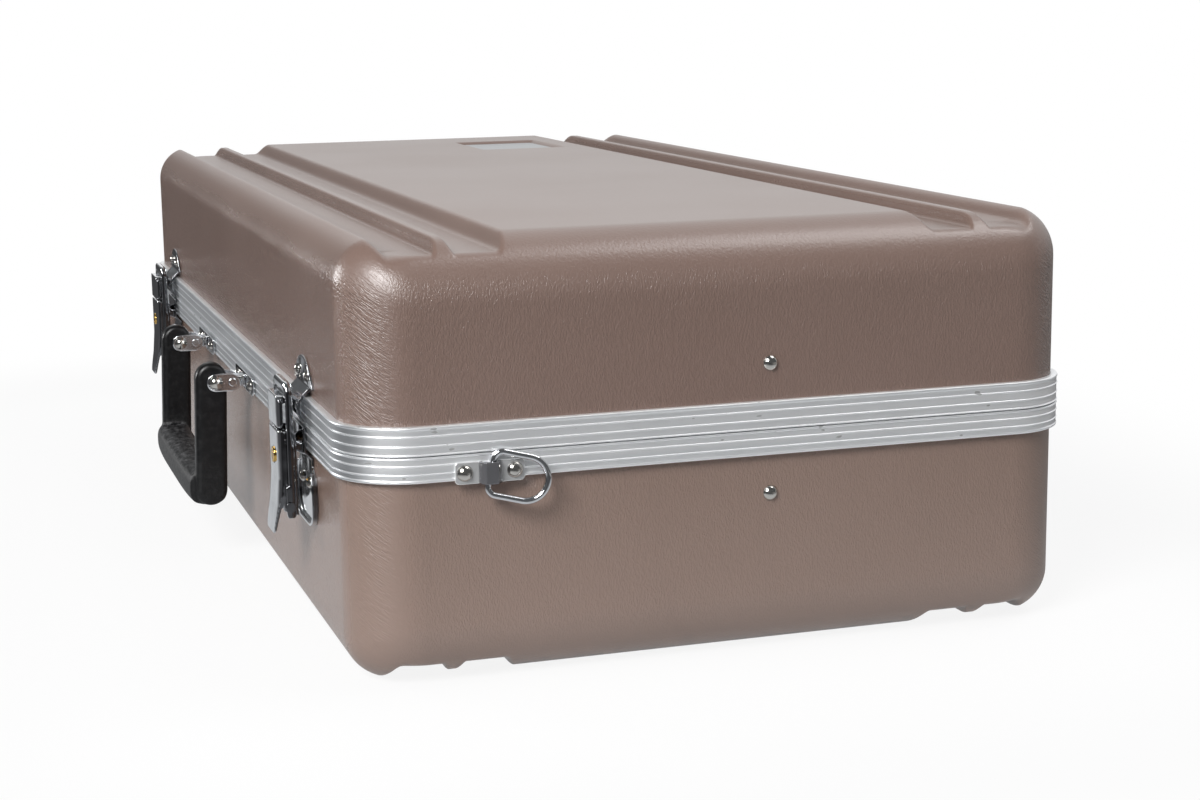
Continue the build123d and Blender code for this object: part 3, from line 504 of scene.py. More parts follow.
soft_lamp("key_lamp", bearing=48, height=33, distance=2.2, size=0.9, watts=54)
soft_lamp("side_lamp", bearing=-42, height=9, distance=2.4, size=0.55, watts=16)
soft_lamp("back_lamp", bearing=158, height=60, distance=2.2, size=1.0, watts=12)

# %% [markdown]
# ## Grained plastic
#
# The sheet is embossed with a fine leather grain before it is heated and drawn
# over the mould. On the flat top the grain stays faint. On the walls the sheet
# stretches, so the wrinkles grow long and stand upright. In the upright corners
# they are deepest and lean over. On the lid's long walls, towards the ends, the
# pebbles of the flat sheet are deeper. Each pattern is noise in the object's own
# coordinates, squeezed along its wrinkles, and the way the surface faces decides
# which one shows: all of it comes from place and normal, so it stays on the
# shell when the lid opens. Wrinkles below a millimetre on a case of half a metre
# would need millions of points, so they are a bump, which only turns the normal.

# %% Height of the grain
def leather_height(finish, wall, corner, lid_half):
    """Height of the grain: the sum of the patterns, each times the share where it shows."""
    nx, ny = finish.parts(finish.facing)[:2]
    x, y, z = finish.parts(finish.place)
    lean = z * 1.05
    leaning_x = x - y.maths("SIGN", y, 0) * lean
    leaning_y = y + x.maths("SIGN", x, 0) * lean
    leaning = finish.add("ShaderNodeCombineXYZ", {}, {0: leaning_x, 1: leaning_y, 2: z * 0.50})
    upright = finish.stretched(finish.place, 1, 1, 0.36)
    wall_grain = finish.rise(finish.noise(upright, 1550, 1.5, 0.6), 0.36, 0.64)
    corner_grain = finish.rise(finish.noise(leaning, 900, 1.0, 0.5), 0.36, 0.64)
    pebble = finish.rise(finish.noise(finish.place, 850, 2.0, 0.4), 0.35, 0.68)
    end_wall = finish.rise(abs(nx), 0.5, 0.95)
    long_wall = finish.rise(abs(ny), 0.5, 0.95) * finish.rise(abs(x), 110 * mm, 250 * mm) * lid_half
    flat_height = pebble * (1 - wall) * 0.10
    wall_height = wall_grain * wall * (1 - corner) * (0.18 + end_wall * 0.12)
    corner_height = corner_grain * corner * wall * (0.24 + lid_half * 0.26)
    long_height = pebble * long_wall * wall * 0.26
    return flat_height + wall_height + corner_height + long_height


# %% [markdown]
# ## Colour and gloss of the shells
#
# The base half is painted a little paler than the lid. That is painted light:
# it stands in for the extra light from the floor on the base's walls. The tone
# drifts over the sheet, and the tips of the grain are worn paler too. The long
# walls are the glossiest, as the handle's mirror image in them shows. The
# upright corners and the rolled edges, where the grain is deep, are duller, so
# the lamps spread there into broad highlights.

# %% Grained shell
def grained_plastic():
    """Taupe plastic with the grain as a bump, a gloss that follows the walls, and the base half painted
    paler as painted light.
    """
    finish = Finish("grained_shell", Specular_IOR_Level=1.0)
    nx, ny, nz = finish.parts(finish.facing)
    wall = finish.rise(1 - abs(nz), 0.30, 0.95)
    corner = finish.rise(abs(nx * ny) * 2, 0.30, 0.95)
    lid_half = finish.rise(finish.parts(finish.place)[2], parting - 1 * mm, parting + 1 * mm)
    height = leather_height(finish, wall, corner, lid_half)
    tone = finish.rise(finish.noise(finish.place, 9, 2.0), 0.25, 0.75)
    taupe = finish.blend(tone, (0.174, 0.115, 0.094, 1), (0.186, 0.124, 0.102, 1))
    # painted light: the base half's tone is paler, standing in for more floor light on its walls
    pale = finish.blend(tone, (0.206, 0.141, 0.113, 1), (0.220, 0.151, 0.122, 1))
    both = finish.blend(lid_half, pale, taupe)
    worn = finish.blend(height * 0.25, both, (0.262, 0.185, 0.155, 1))
    front = finish.rise(abs(ny), 0.75, 1.0)
    rolled_edge = finish.rise(abs(nz), 0.04, 0.28) * wall
    rough = 0.31 + tone * 0.04 + height * 0.04 - front * 0.14 + corner * 0.09 + rolled_edge * 0.08
    return finish.surface(Base_Color=worn, Roughness=rough, Normal=finish.bump(height, 0.30 * mm))


shell_finish = grained_plastic()


# %% [markdown]
# ## Satin aluminium
#
# The bands are drawn through a die, which leaves very fine lines along them.
# Noise that changes fast with height and slowly along the case gives those
# lines on every side, because the bands run level all round. A few dark scuffs
# come from noise of which only the highest peaks are kept. On the long sides the
# metal is duller, and its colour is painted darker: a painted reflection of the
# dark studio there.

# %% Satin aluminium
def satin_aluminium():
    """Drawn aluminium: fine level lines, cloudy shine, a few scuffs, and long sides painted darker as a
    painted reflection.
    """
    finish = Finish("satin_aluminium")
    lines = finish.noise(finish.stretched(finish.place, 6, 6, 2600), 1.0, 2.0)
    clouds = finish.noise(finish.stretched(finish.place, 1, 1, 2), 28, 3.0)
    scuff_field = finish.noise(finish.stretched(finish.place, 1, 1, 3), 150, 1.0)
    scuff = finish.rise(scuff_field, 0.735, 0.78)
    strips = finish.noise(finish.stretched(finish.place, 2, 2, 420), 1.0, 1.0)
    shine = clouds * 0.5 + finish.rise(strips, 0.3, 0.7) * 0.5
    bright = finish.blend(shine, (0.80, 0.815, 0.83, 1), (0.93, 0.935, 0.945, 1))
    # painted reflection: the long sides' colour is darkened for the dark studio they mirror
    long_side = finish.rise(abs(finish.parts(finish.facing)[1]), 0.5, 0.95)
    long_sides_painted_dark = finish.blend(long_side * 0.55, bright, (0.36, 0.38, 0.41, 1))
    colour = finish.blend(scuff * 0.55, long_sides_painted_dark, (0.16, 0.15, 0.14, 1))
    rough = 0.30 + lines * 0.14 + scuff * 0.2
    metal = 0.70 + long_side * 0.25
    normal = finish.bump(lines, 0.02 * mm)
    return finish.surface(Base_Color=colour, Roughness=rough, Metallic=metal, Normal=normal)


aluminium_finish = satin_aluminium()


# %% [markdown]
# ## Plated steel and brass
#
# Pressed steel has no knife edges: each edge is rolled over by a few tenths of
# a millimetre, and that is where polished metal flashes. A Bevel modifier could
# round the mesh, but the frame's meshes are loose triangles, so the Bevel node
# rounds the normals. Plating is never even, so its roughness drifts a little.
# The latches' faces that look along the case mirror the dark studio, and that
# dark reflection is painted into their colour too, between the distances from
# the middle at which the two latches stand.

# %% Metals
latch_inner = (150 * mm, 160 * mm)
latch_outer = (230 * mm, 240 * mm)


def plated(name, colour, low_rough, high_rough, edge, painted_dark_sides=False):
    """Polished metal whose roughness drifts, with rolled edges and, if asked, latch sides painted dark as
    a painted reflection.
    """
    finish = Finish(name, Metallic=1.0)
    waves = finish.noise(finish.place, 130, 0.0)
    haze = finish.rise(finish.noise(finish.place, 110, 3.0), 0.35, 0.7)
    specks = finish.rise(finish.noise(finish.place, 900, 1.0), 0.70, 0.78)
    rough = low_rough + haze * (high_rough - low_rough) + specks * 0.15
    dark = tuple(0.8 * part for part in colour[:3]) + (1,)
    tint = finish.blend(haze * 0.5 + specks * 0.3, colour, dark)
    if painted_dark_sides:
        # painted reflection: latch faces that look along the case are painted near black
        across = abs(finish.parts(finish.place)[0])
        on_latch = finish.rise(across, *latch_inner) - finish.rise(across, *latch_outer)
        sideways = finish.rise(abs(finish.parts(finish.facing)[0]), 0.55, 0.9)
        tint = finish.blend(on_latch * sideways * 0.85, tint, (0.03, 0.03, 0.035, 1))
    wavy = finish.bump(waves, 0.2 * mm, finish.rounded(edge))
    return finish.surface(Base_Color=tint, Roughness=rough, Normal=finish.bump(specks, 0.01 * mm, wavy))


chrome_finish = plated("chrome_plate", (0.74, 0.75, 0.77, 1), 0.05, 0.11, 0.35 * mm, True)
nickel_finish = plated("rivet_nickel", (0.62, 0.60, 0.565, 1), 0.12, 0.22, 0.25 * mm)
hinge_finish = plated("hinge_steel", (0.72, 0.72, 0.73, 1), 0.18, 0.30, 0.3 * mm)
stay_finish = plated("stay_steel", (0.62, 0.62, 0.62, 1), 0.22, 0.36, 0.3 * mm)
brass_finish = plated("lock_brass", (0.80, 0.52, 0.16, 1), 0.12, 0.24, 0.2 * mm)


# %% [markdown]
# ## Black handle, blank plate and ring strips
#
# The handle is black plastic, smooth on its ends and pebbled on the grip. A
# faint dust lies all over it, and the grip's upward faces are painted paler:
# dust there, and a painted highlight. The plate on the lid is brushed along the
# case and stays bare. The strips that hold the strap rings are satin with a
# polished loop in the middle, which stands out from the band; the loop is
# painted dark, a painted reflection.

# %% Black handle
grip_fade = (43 * mm, 52 * mm)


def black_plastic():
    """Black plastic with a pebbled grip below the heights of grip_fade, faint dust all over, and the
    grip's upward faces painted paler as dust and a painted highlight.
    """
    finish = Finish("black_handle", Specular_IOR_Level=0.35)
    pebbles = {"Vector": finish.place, "Scale": 900}
    cells = finish.add("ShaderNodeTexVoronoi", {"feature": "SMOOTH_F1"}, pebbles)
    grip = 1 - finish.rise(finish.parts(finish.place)[2], *grip_fade)
    upward = finish.rise(finish.parts(finish.facing)[2], 0.1, 0.7)
    dust = finish.rise(finish.noise(finish.place, 420, 4.0), 0.42, 0.72)
    # painted highlight: the grip's upward faces are painted paler, mixed with dust
    dust_and_painted_highlight = dust * (0.05 + grip * upward * 0.85)
    colour = finish.blend(dust_and_painted_highlight, (0.0035, 0.0035, 0.004, 1), (0.085, 0.085, 0.088, 1))
    rough = 0.34 + grip * 0.16 + dust * 0.1
    height = (1 - cells) * (0.15 + grip)
    return finish.surface(Base_Color=colour, Roughness=rough, Normal=finish.bump(height, 0.12 * mm))


handle_finish = black_plastic()


# %% Blank plate and ring strips
def blank_plate():
    """Brushed plate: noise that changes fast across the case and slowly along it."""
    finish = Finish("badge_blank", Metallic=0.5)
    fine = finish.noise(finish.stretched(finish.place, 40, 2200, 40), 1.0, 2.0)
    colour = finish.blend(fine, (0.34, 0.35, 0.36, 1), (0.41, 0.42, 0.43, 1))
    return finish.surface(Base_Color=colour, Roughness=0.34 + fine * 0.1, Normal=finish.rounded(0.2 * mm))


def ring_strip():
    """Satin strip with a bright face and a polished loop painted dark as a painted reflection, both told
    by its distance from the middle.
    """
    finish = Finish("ring_strip", Metallic=0.55)
    along = abs(finish.parts(finish.place)[0])
    loop = finish.rise(along, band_x + 1.0 * mm, band_x + 1.5 * mm)
    haze = finish.noise(finish.place, 160, 3.0)
    plate = finish.blend(haze, (0.74, 0.75, 0.75, 1), (0.88, 0.89, 0.89, 1))
    # painted reflection: the polished loop's colour is dark
    colour = finish.blend(loop, plate, (0.17, 0.17, 0.18, 1))
    rough = 0.30 - loop * 0.20 + haze * 0.05
    return finish.surface(Base_Color=colour, Roughness=rough, Normal=finish.rounded(0.3 * mm))


plate_finish = blank_plate()
strip_finish = ring_strip()

# %% [markdown]
# ## Finishes for the frame's own pieces
#
# The record gives each piece a slot, which is the name of its finish. Rivets,
# hinges, the stay, the locks and the plate keep the frame's own shape, and only
# get their material here.

# %% Materials by slot
finishes = {
    "grained_shell": shell_finish,
    "satin_aluminium": aluminium_finish,
    "chrome_plate": chrome_finish,
    "rivet_nickel": nickel_finish,
    "hinge_steel": hinge_finish,
    "stay_steel": stay_finish,
    "lock_brass": brass_finish,
    "black_handle": handle_finish,
    "badge_blank": plate_finish,
}
slots = {part["node"]: part["material_slot"] for part in frame["record"]["subparts"]}
for node_name, slot in slots.items():
    if slot in finishes:
        node = frame["nodes"][node_name]
        node.data.materials.clear()
        node.data.materials.append(finishes[slot])
print("pieces with a finish from their slot:", sum(slot in finishes for slot in slots.values()))


# %% [markdown]
# ## Pressed pieces with rolled edges
#
# The frame's latch plates have square edges, and a square edge never flashes.
# Here each such piece is copied, its loose triangles are joined, and it is laid
# on a grid of small cells (the Remesh modifier), whose corners are then
# smoothed. What comes out is read back as arrays. On the wide plates of the
# latches the points near both sides are then moved back, the more the nearer
# they lie to the side: that rolls the face over into the flange.

# %% Copies with rolled sides
plate_front = -(shell_y + 13.8 * mm)
plate_half = 12 * mm
roll_width = 4.5 * mm
roll_fade = 2.8 * mm
roll_end = 3.4 * mm
tip_start = parting + 5 * mm
tip_fade = 7 * mm
tip_droop = 2.2


def joined_copy(node, name):
    """An object with a copy of a node's mesh, its triangles joined at their corners."""
    mesh = node.data.copy()
    mesh.name = name
    work = bmesh.new()
    work.from_mesh(mesh)
    bmesh.ops.remove_doubles(work, verts=work.verts, dist=0.001 * mm)
    work.to_mesh(mesh)
    work.free()
    copy = bpy.data.objects.new(name, mesh)
    bpy.context.scene.collection.objects.link(copy)
    return copy


def roll_sides(points, middle, drop):
    """Points of a plate with its face rolled back at both sides by up to drop.

    The bend follows a quarter circle over the roll's width and fades out with the
    depth behind the face. Above tip_start it pulls the points down too, which
    rounds the plate's upper corners.
    """
    near_side = np.clip((np.abs(points[:, 0] - middle) - plate_half + roll_width) / roll_width, 0, 1)
    share = np.clip((roll_end - (points[:, 1] - plate_front)) / roll_fade, 0, 1)
    bend = (1 - np.sqrt(1 - np.clip(near_side, 0, 0.98) ** 2)) * share
    upper = np.clip((points[:, 2] - tip_start) / tip_fade, 0, 1)
    rolled = points.copy()
    rolled[:, 1] += drop * bend
    rolled[:, 2] -= tip_droop * drop * bend * upper
    return rolled


# %% Soft copies
def soften(node_name, cell, rounds, rolled=0.0, finish=None):
    """Replaces a node by a soft copy, with its sides rolled back by a distance."""
    node = frame["nodes"][node_name]
    copy = joined_copy(node, "soft_" + node_name)
    skin = copy.modifiers.new("cells", "REMESH")
    skin.mode = "VOXEL"
    skin.voxel_size = cell
    smooth = copy.modifiers.new("round", "SMOOTH")
    smooth.factor = 0.5
    smooth.iterations = rounds
    baked = baked_mesh(copy)
    if rolled:
        places = mesh_places(baked)
        middle = (places[:, 0].min() + places[:, 0].max()) / 2
        baked.vertices.foreach_set("co", roll_sides(places, middle, rolled).ravel())
    baked.polygons.foreach_set("use_smooth", np.full(len(baked.polygons), True))
    baked.update()
    copy.modifiers.clear()
    copy.data = baked
    baked.name = copy.name
    baked.materials.clear()
    baked.materials.append(finish or finishes[slots[node_name]])
    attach(copy, body_of(node)[0])
    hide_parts(node_name)
    print(copy.name, len(baked.polygons), "faces")


for side in ("left", "right"):
    soften("latch_lever_" + side, 0.30 * mm, 5, 1.7 * mm)
    soften("latch_hasp_" + side, 0.28 * mm, 5, 1.7 * mm)
    soften("latch_catch_" + side, 0.28 * mm, 4)
    soften("latch_base_plate_" + side, 0.30 * mm, 4)
    soften("handle_bracket_" + side, 0.28 * mm, 4)
    soften("strap_ring_strip_" + side, 0.28 * mm, 4, finish=strip_finish)
    for place in ("inner", "outer"):
        soften(f"handle_cheek_{side}_{place}", 0.25 * mm, 4)
soften("handle_pivot_pins", 0.16 * mm, 3)


# %% [markdown]
# ## A rounded box as one sheet
#
# Shells, bands and padding all share one plan: a rectangle with round corners.
# A flat grid covers the rectangle between the corners' centres. Around it a
# skirt grows: every point of the grid's border has a direction outwards, and at
# each corner the directions fan out over a quarter turn. Rings along these
# directions then run over the rounded edge and down the wall.

# %% Plan with a skirt
corner_steps = 20


def plan_sheet(lines_x, lines_y, first=0):
    """Numbers and places of a grid, and the numbers and outward directions of its border.

    The border runs round the grid once. Each side's points look straight out, and
    each corner is repeated for the directions of its fan.
    """
    numbers = first + np.arange(len(lines_x) * len(lines_y)).reshape(len(lines_y), len(lines_x))
    grid_x, grid_y = np.meshgrid(lines_x, lines_y)
    flat = np.stack([grid_x.ravel(), grid_y.ravel()], axis=1)
    sides = [
        (numbers[0, :], -90),
        (numbers[:, -1], 0),
        (numbers[-1, ::-1], 90),
        (numbers[::-1, 0], 180),
    ]
    border = []
    angles = []
    for side, angle in sides:
        border.append(side)
        angles.append(np.full(len(side), angle))
        fan = np.linspace(angle, angle + 90, corner_steps + 1)[1:-1]
        border.append(np.full(len(fan), side[-1]))
        angles.append(fan)
    border = np.concatenate(border)
    angles = np.radians(np.concatenate(angles))
    outward = np.stack([np.cos(angles), np.sin(angles)], axis=1)
    return numbers, flat, border, outward


def skirt_points(flat, border, outward, reach):
    """Places of rings, (rings, points, 2): the border's places plus each reach outwards."""
    return flat[border] + reach[:, None, None] * outward


print("border of a sheet of 3 by 4 points:", len(plan_sheet(np.arange(3), np.arange(4))[2]), "points")

# %% [markdown]
# ## The shells
#
# The lid's top carries two pressed grooves along each side with a rounded ridge
# between them, and a shallow recess for a plate. The depth below the top is the
# largest of three: the rounded edge of the box, the grooves and the recess. The
# grooves run straight on over the rounded edge, which is what opens their ends.
# Grooves cut into a box by a Boolean modifier would have knife-sharp rims, and
# the real sheet only bends.
#
# The inner side of the sheet is the same box, one wall smaller, and the two
# sides meet at the rim, so the shell is closed and really 3 mm thick.

# %% Pressed strips
field_half = 87.5 * mm
groove_floor = 16.7 * mm
groove_bank = 4.0 * mm
ridge_width = 8.8 * mm
ridge_crest = 2.6 * mm
lid_strips = (6.3 * mm, 5.6 * mm)
base_strips = (7.3 * mm, 4.3 * mm)
strip_far = field_half + 2 * groove_floor + ridge_width
ridge_middle = field_half + groove_floor + ridge_width / 2
badge_low, badge_high = (np.array(corner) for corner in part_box("badge_plate"))
badge_middle = (badge_low + badge_high) / 2
badge_half = (badge_high - badge_low) / 2
badge_bank = 3.0 * mm
badge_depth = case_top - badge_low[2]


def strip_depth(y, deep, floor, bank_shift=0.0):
    """Depth of one pressed strip: two sloping banks and a floor. Negative outside it."""
    slope = deep / groove_bank
    across = np.abs(y)
    inner = (across - field_half + groove_bank + bank_shift) * slope
    outer = (strip_far + groove_bank + bank_shift - across) * slope
    return soft_min(soft_min(inner, outer, 2.0 * mm), floor, 2.4 * mm)


def ridge_rise(y, high):
    """Height of the ridge that stands on the strip's floor, with a soft crest and foot."""
    off = np.abs(np.abs(y) - ridge_middle)
    return high * (1 - soft_step(off, ridge_crest / 2, ridge_width / 2))


def recess_depth(x, y):
    """Depth of the plate's recess: a floor with banks that rise outwards."""
    inside_x = badge_half[0] + badge_bank - np.abs(x - badge_middle[0])
    inside_y = badge_half[1] + badge_bank - np.abs(y - badge_middle[1])
    inside = soft_min(inside_x, inside_y, 2.0 * mm)
    return soft_min(inside * badge_depth / badge_bank, badge_depth, 0.5 * mm)


strip_ends = np.array([field_half - groove_bank, strip_far + groove_bank])
print("strips between", np.round(strip_ends / mm, 1), "mm from the middle")

# %% [markdown]
# ## Two sides of one sheet
#
# Both sides of the sheet are depths below the top. The outer one joins the
# box's rounded edge to the strips, with a wider join near the long sides, where
# the plastic has further to stretch. The inner one follows the strips with a
# softer bend, as a sheet does on the side that doesn't touch the mould.

# %% Depths of the two sides
join_width = 2.2 * mm
join_growth = 2.6 * mm
join_grows = (118 * mm, 130 * mm)


def outer_depth(x, y, edge, strips, recessed):
    """Depth of the outer side: the larger of the edge's, the strips' and the recess's."""
    deep, high = strips
    pressed = strip_depth(y, deep, deep) - ridge_rise(y, high)
    depth = soft_max(edge, pressed, join_width + join_growth * soft_step(np.abs(y), *join_grows))
    if recessed:
        depth = soft_max(depth, recess_depth(x, y), 0.6 * mm)
    return depth


def inner_depth(y, edge, strips):
    """Depth of the inner side, which bulges in under the strips."""
    pressed = strip_depth(y, strips[0], strips[0] + shell_wall, 2.0 * mm)
    return shell_wall + soft_max(edge, pressed - shell_wall, 3.0 * mm)


print("depth in the middle of a groove:",
      round(float(outer_depth(0, field_half + groove_floor / 2, 0, lid_strips, False)) / mm, 2), "mm")

# %% [markdown]
# ## Grid lines where they are needed
#
# A grid needs points where the surface bends, and wastes them where it is flat.
# The lines lie close over the strips and over the banks of the plate's recess,
# and far apart between them.

# %% Grid lines of the shells
def lines_between(*spans):
    """Grid lines: each span is (low, high, spacing), and spans follow one another."""
    pieces = []
    for low, high, spacing in spans:
        pieces.append(np.linspace(low, high, max(2, int(round((high - low) / spacing)) + 1))[:-1])
    return np.append(np.concatenate(pieces), spans[-1][1])


core_x = shell_x - shell_corner
core_y = shell_y - shell_corner
strip_near = field_half - groove_bank - 4 * mm
flat_step = 9 * mm
strip_step = 0.7 * mm
bank_step = 0.5 * mm
badge_reach = badge_half + badge_bank + 2 * mm
badge_inner = badge_half - 2 * mm
shell_lines_x = lines_between(
    (-core_x, badge_middle[0] - badge_reach[0], flat_step),
    (badge_middle[0] - badge_reach[0], badge_middle[0] - badge_inner[0], bank_step),
    (badge_middle[0] - badge_inner[0], badge_middle[0] + badge_inner[0], flat_step),
    (badge_middle[0] + badge_inner[0], badge_middle[0] + badge_reach[0], bank_step),
    (badge_middle[0] + badge_reach[0], core_x, flat_step),
)
shell_lines_y = lines_between(
    (-core_y, -strip_near, strip_step),
    (-strip_near, badge_middle[1] - badge_reach[1], flat_step),
    (badge_middle[1] - badge_reach[1], badge_middle[1] - badge_inner[1], bank_step),
    (badge_middle[1] - badge_inner[1], badge_middle[1] + badge_inner[1], flat_step),
    (badge_middle[1] + badge_inner[1], badge_middle[1] + badge_reach[1], bank_step),
    (badge_middle[1] + badge_reach[1], strip_near, flat_step / 2),
    (strip_near, core_y, strip_step),
)
print("shell grid", len(shell_lines_x), "x", len(shell_lines_y), "lines")

# %% [markdown]
# ## From the flat sheet to a shell
#
# Over the flat grid the depth is a function of the place. Round it run rings
# over the box's rounded edge, at growing angles, and then straight down the
# wall. The edge's radius is the larger one at the two ends and the smaller one
# along the two long sides, and changes from one to the other round each corner.

# %% Shells
def shell_side(wall, height, depth_of, first):
    """Points and faces of one side of a shell, as depth below its top, out to its rim.

    At an angle t round an edge of radius r, a ring lies r (1 - cos t) deep, and
    r sin t further out than where the edge begins.
    """
    numbers, flat, border, outward = plan_sheet(shell_lines_x, shell_lines_y, first)
    edge = long_edge + (shell_edge - long_edge) * outward[:, 0] ** 2 - wall
    # degrees: small steps where the strips run over the edge, larger ones below
    turn = np.radians(np.concatenate([np.linspace(1.6, 51.2, 32), np.linspace(55, 90, 9)]))[:, None]
    drop = np.linspace(0, 1, 9)[1:, None] * (height - wall - edge) + edge
    rounding = shell_corner - wall - edge + edge * np.sin(turn)
    reach = np.concatenate([rounding, np.full(drop.shape, shell_corner - wall)])
    rings = np.concatenate([edge * (1 - np.cos(turn)), drop])
    places = flat[border - first] + reach[..., None] * outward
    top = depth_of(flat[:, 0], flat[:, 1], np.zeros(len(flat)))
    bent = depth_of(places[..., 0], places[..., 1], rings)
    depth = np.where(rings >= edge, rings + wall, bent)
    points = np.concatenate([
        np.column_stack([flat, top]),
        np.column_stack([places.reshape(-1, 2), depth.ravel()]),
    ])
    skirt = first + len(flat) + np.arange(rings.size).reshape(rings.shape)
    wall_faces = grid_faces(np.vstack([border, skirt]), closed=True)[:, ::-1]
    return points, np.concatenate([grid_faces(numbers), wall_faces]), skirt[-1]


def shell(name, node, height, top, up, strips, recessed, body):
    """A closed shell: outer side, inner side and the rim between them."""
    outer, outer_faces, outer_rim = shell_side(
        0, height, lambda x, y, edge: outer_depth(x, y, edge, strips, recessed), 0)
    inner, inner_faces, inner_rim = shell_side(
        shell_wall, height, lambda x, y, edge: inner_depth(y, edge, strips), len(outer))
    rim = grid_faces(np.vstack([outer_rim, inner_rim]), closed=True)[:, ::-1]
    points = np.concatenate([outer, inner])
    points[:, 2] = top - up * points[:, 2]
    faces = np.concatenate([outer_faces, inner_faces[:, ::-1], rim])
    mesh_piece(name, points, faces, shell_finish, body, [node])


lid_depth = case_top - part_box("lid_shell")[0].z
shell("moulded_lid", "lid_shell", lid_depth, case_top, 1, lid_strips, True, "lid")
shell("moulded_base", "base_shell", shell_rim, 0.0, -1, base_strips, False, "case_base")

# %% [markdown]
# ## The bands
#
# Each band is a drawn profile bent round the case. Its face has three flat
# strips between fine half-round beads, and a thicker bead as a lip where it
# meets the shell. The profile is a closed line of (inset, height) points. Its
# corners are rounded by arcs, and the beads are a raised cosine added along the
# face. Carried round the plan, a point with inset s lies where the case's
# outline, made smaller by s, runs. A curve with a bevel profile would come
# close, but here every bead stays level and the corners aren't pinched.

# %% Profiles with round corners
def round_corners(corners, radii, steps=4):
    """Arcs, each (steps + 1, 2) points, that round the corners of a closed line.

    Each arc's centre lies on the line that halves the corner's angle. Between the
    two radii that touch the sides, the points follow the sine rule for equal turns.
    """
    corners = np.array(corners, float)
    radii = np.array(radii, float)[:, None]
    back = np.roll(corners, 1, axis=0) - corners
    ahead = np.roll(corners, -1, axis=0) - corners
    back /= np.linalg.norm(back, axis=1, keepdims=True)
    ahead /= np.linalg.norm(ahead, axis=1, keepdims=True)
    half = np.arccos(np.clip((back * ahead).sum(axis=1, keepdims=True), -1, 1)) / 2
    inward = back + ahead
    inward /= np.linalg.norm(inward, axis=1, keepdims=True)
    middle = corners + inward * radii / np.sin(half)
    first = corners + back * radii / np.tan(half) - middle
    last = corners + ahead * radii / np.tan(half) - middle
    turn = np.pi - 2 * half
    share = np.linspace(0, 1, steps + 1)[:, None, None]
    arcs = middle + (np.sin((1 - share) * turn) * first + np.sin(share * turn) * last) / np.sin(turn)
    return arcs.transpose(1, 0, 2)


def round_case(profile, body, name, node):
    """Carries a closed profile of (inset, height) points round the case's outline."""
    lines_x = np.linspace(-core_x, core_x, 13)
    lines_y = np.linspace(-core_y, core_y, 9)
    flat, border, outward = plan_sheet(lines_x, lines_y)[1:]
    radius = band_x - core_x
    places = skirt_points(flat, border, outward, radius - profile[:, 0])
    heights = np.broadcast_to(profile[:, 1][:, None], places.shape[:2])
    points = np.column_stack([places.reshape(-1, 2), heights.ravel()])
    rings = np.arange(len(points)).reshape(places.shape[:2])
    faces = grid_faces(np.vstack([rings, rings[:1]]), closed=True)
    mesh_piece(name, points, faces, aluminium_finish, body, [node], crease=50)


square = round_corners([(0, 0), (1, 0), (1, 1), (0, 1)], [0.25] * 4)
print("a square with round corners:", square.shape[0], "arcs of", square.shape[1], "points")

# %% [markdown]
# ## Profiles of the two bands
#
# The shell's rim is held between the band's face and a leg behind it, which a
# web joins. The base band also has a tongue that stands up behind the lid band's
# leg and covers the gap. The names below say where each of these stands, counted
# inwards from the band's face or away from the parting plane.

# %% Drawn bands
bead_proud = 0.32 * mm
bead_half = 0.45 * mm
lip_half = 0.75 * mm
band_web = 1.5 * mm
half_gap = 0.2 * mm
outer_leg = band_proud
inner_leg = band_proud + shell_wall
inner_leg_end = inner_leg + 1.2 * mm
inner_leg_depth = 8.0 * mm
tongue_face = inner_leg_end + 0.4 * mm
tongue_back = tongue_face + 1.2 * mm
tongue_rise = 4.0 * mm


def beaded_face(height):
    """Inset of the band's face at heights from its gap to its lip, strips and beads."""
    spots = np.linspace(half_gap, height, 120)[1:-1]
    inset = np.full(len(spots), bead_proud)
    strip = (height - half_gap) / 3
    beads = (
        (half_gap + strip, bead_half),
        (half_gap + 2 * strip, bead_half),
        (height - lip_half, lip_half),
        (half_gap + 0.4 * mm, 0.5 * mm),
    )
    for middle, half in beads:
        off = np.clip(np.abs(spots - middle) / half, 0, 1)
        inset -= bead_proud * (0.5 + 0.5 * np.cos(np.pi * off))
    keep = (spots > half_gap + 0.45 * mm) & (spots < height - 0.75 * mm)
    return np.column_stack([np.clip(inset, 0, None), spots])[keep]


def band_profile(height, inner_corners, inner_radii):
    """Closed line: the beaded face, the lip, and the inner corners back to the gap."""
    corners = [(0.12 * mm, half_gap), (0.05 * mm, height)] + inner_corners
    arcs = round_corners(corners, [0.3 * mm, 0.6 * mm] + inner_radii)
    parts = [arcs[0], beaded_face(height)] + list(arcs[1:])
    return np.concatenate(parts)


web_top = half_gap + band_web
leg_end = web_top + inner_leg_depth
small = 0.15 * mm
lid_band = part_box("lid_valance")[1].z - parting
base_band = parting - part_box("base_valance")[0].z
lid_inner = [(outer_leg, lid_band), (outer_leg, web_top), (inner_leg, web_top), (inner_leg, leg_end),
             (inner_leg_end, leg_end), (inner_leg_end, half_gap)]
lid_profile = band_profile(lid_band, lid_inner, [small] * 6)
lid_profile[:, 1] += parting
round_case(lid_profile, "lid", "drawn_lid_band", "lid_valance")

base_inner = [(outer_leg, base_band), (outer_leg, web_top), (inner_leg, web_top), (inner_leg, leg_end),
              (inner_leg_end, leg_end), (inner_leg_end, web_top), (tongue_back, web_top),
              (tongue_back, -tongue_rise), (tongue_face, -tongue_rise), (tongue_face, half_gap)]
base_profile = band_profile(base_band, base_inner, [small] * 6 + [0.3 * mm, 0.5 * mm, 0.5 * mm, small])
base_profile[:, 1] = parting - base_profile[:, 1]
round_case(base_profile, "case_base", "drawn_base_band", "base_valance")

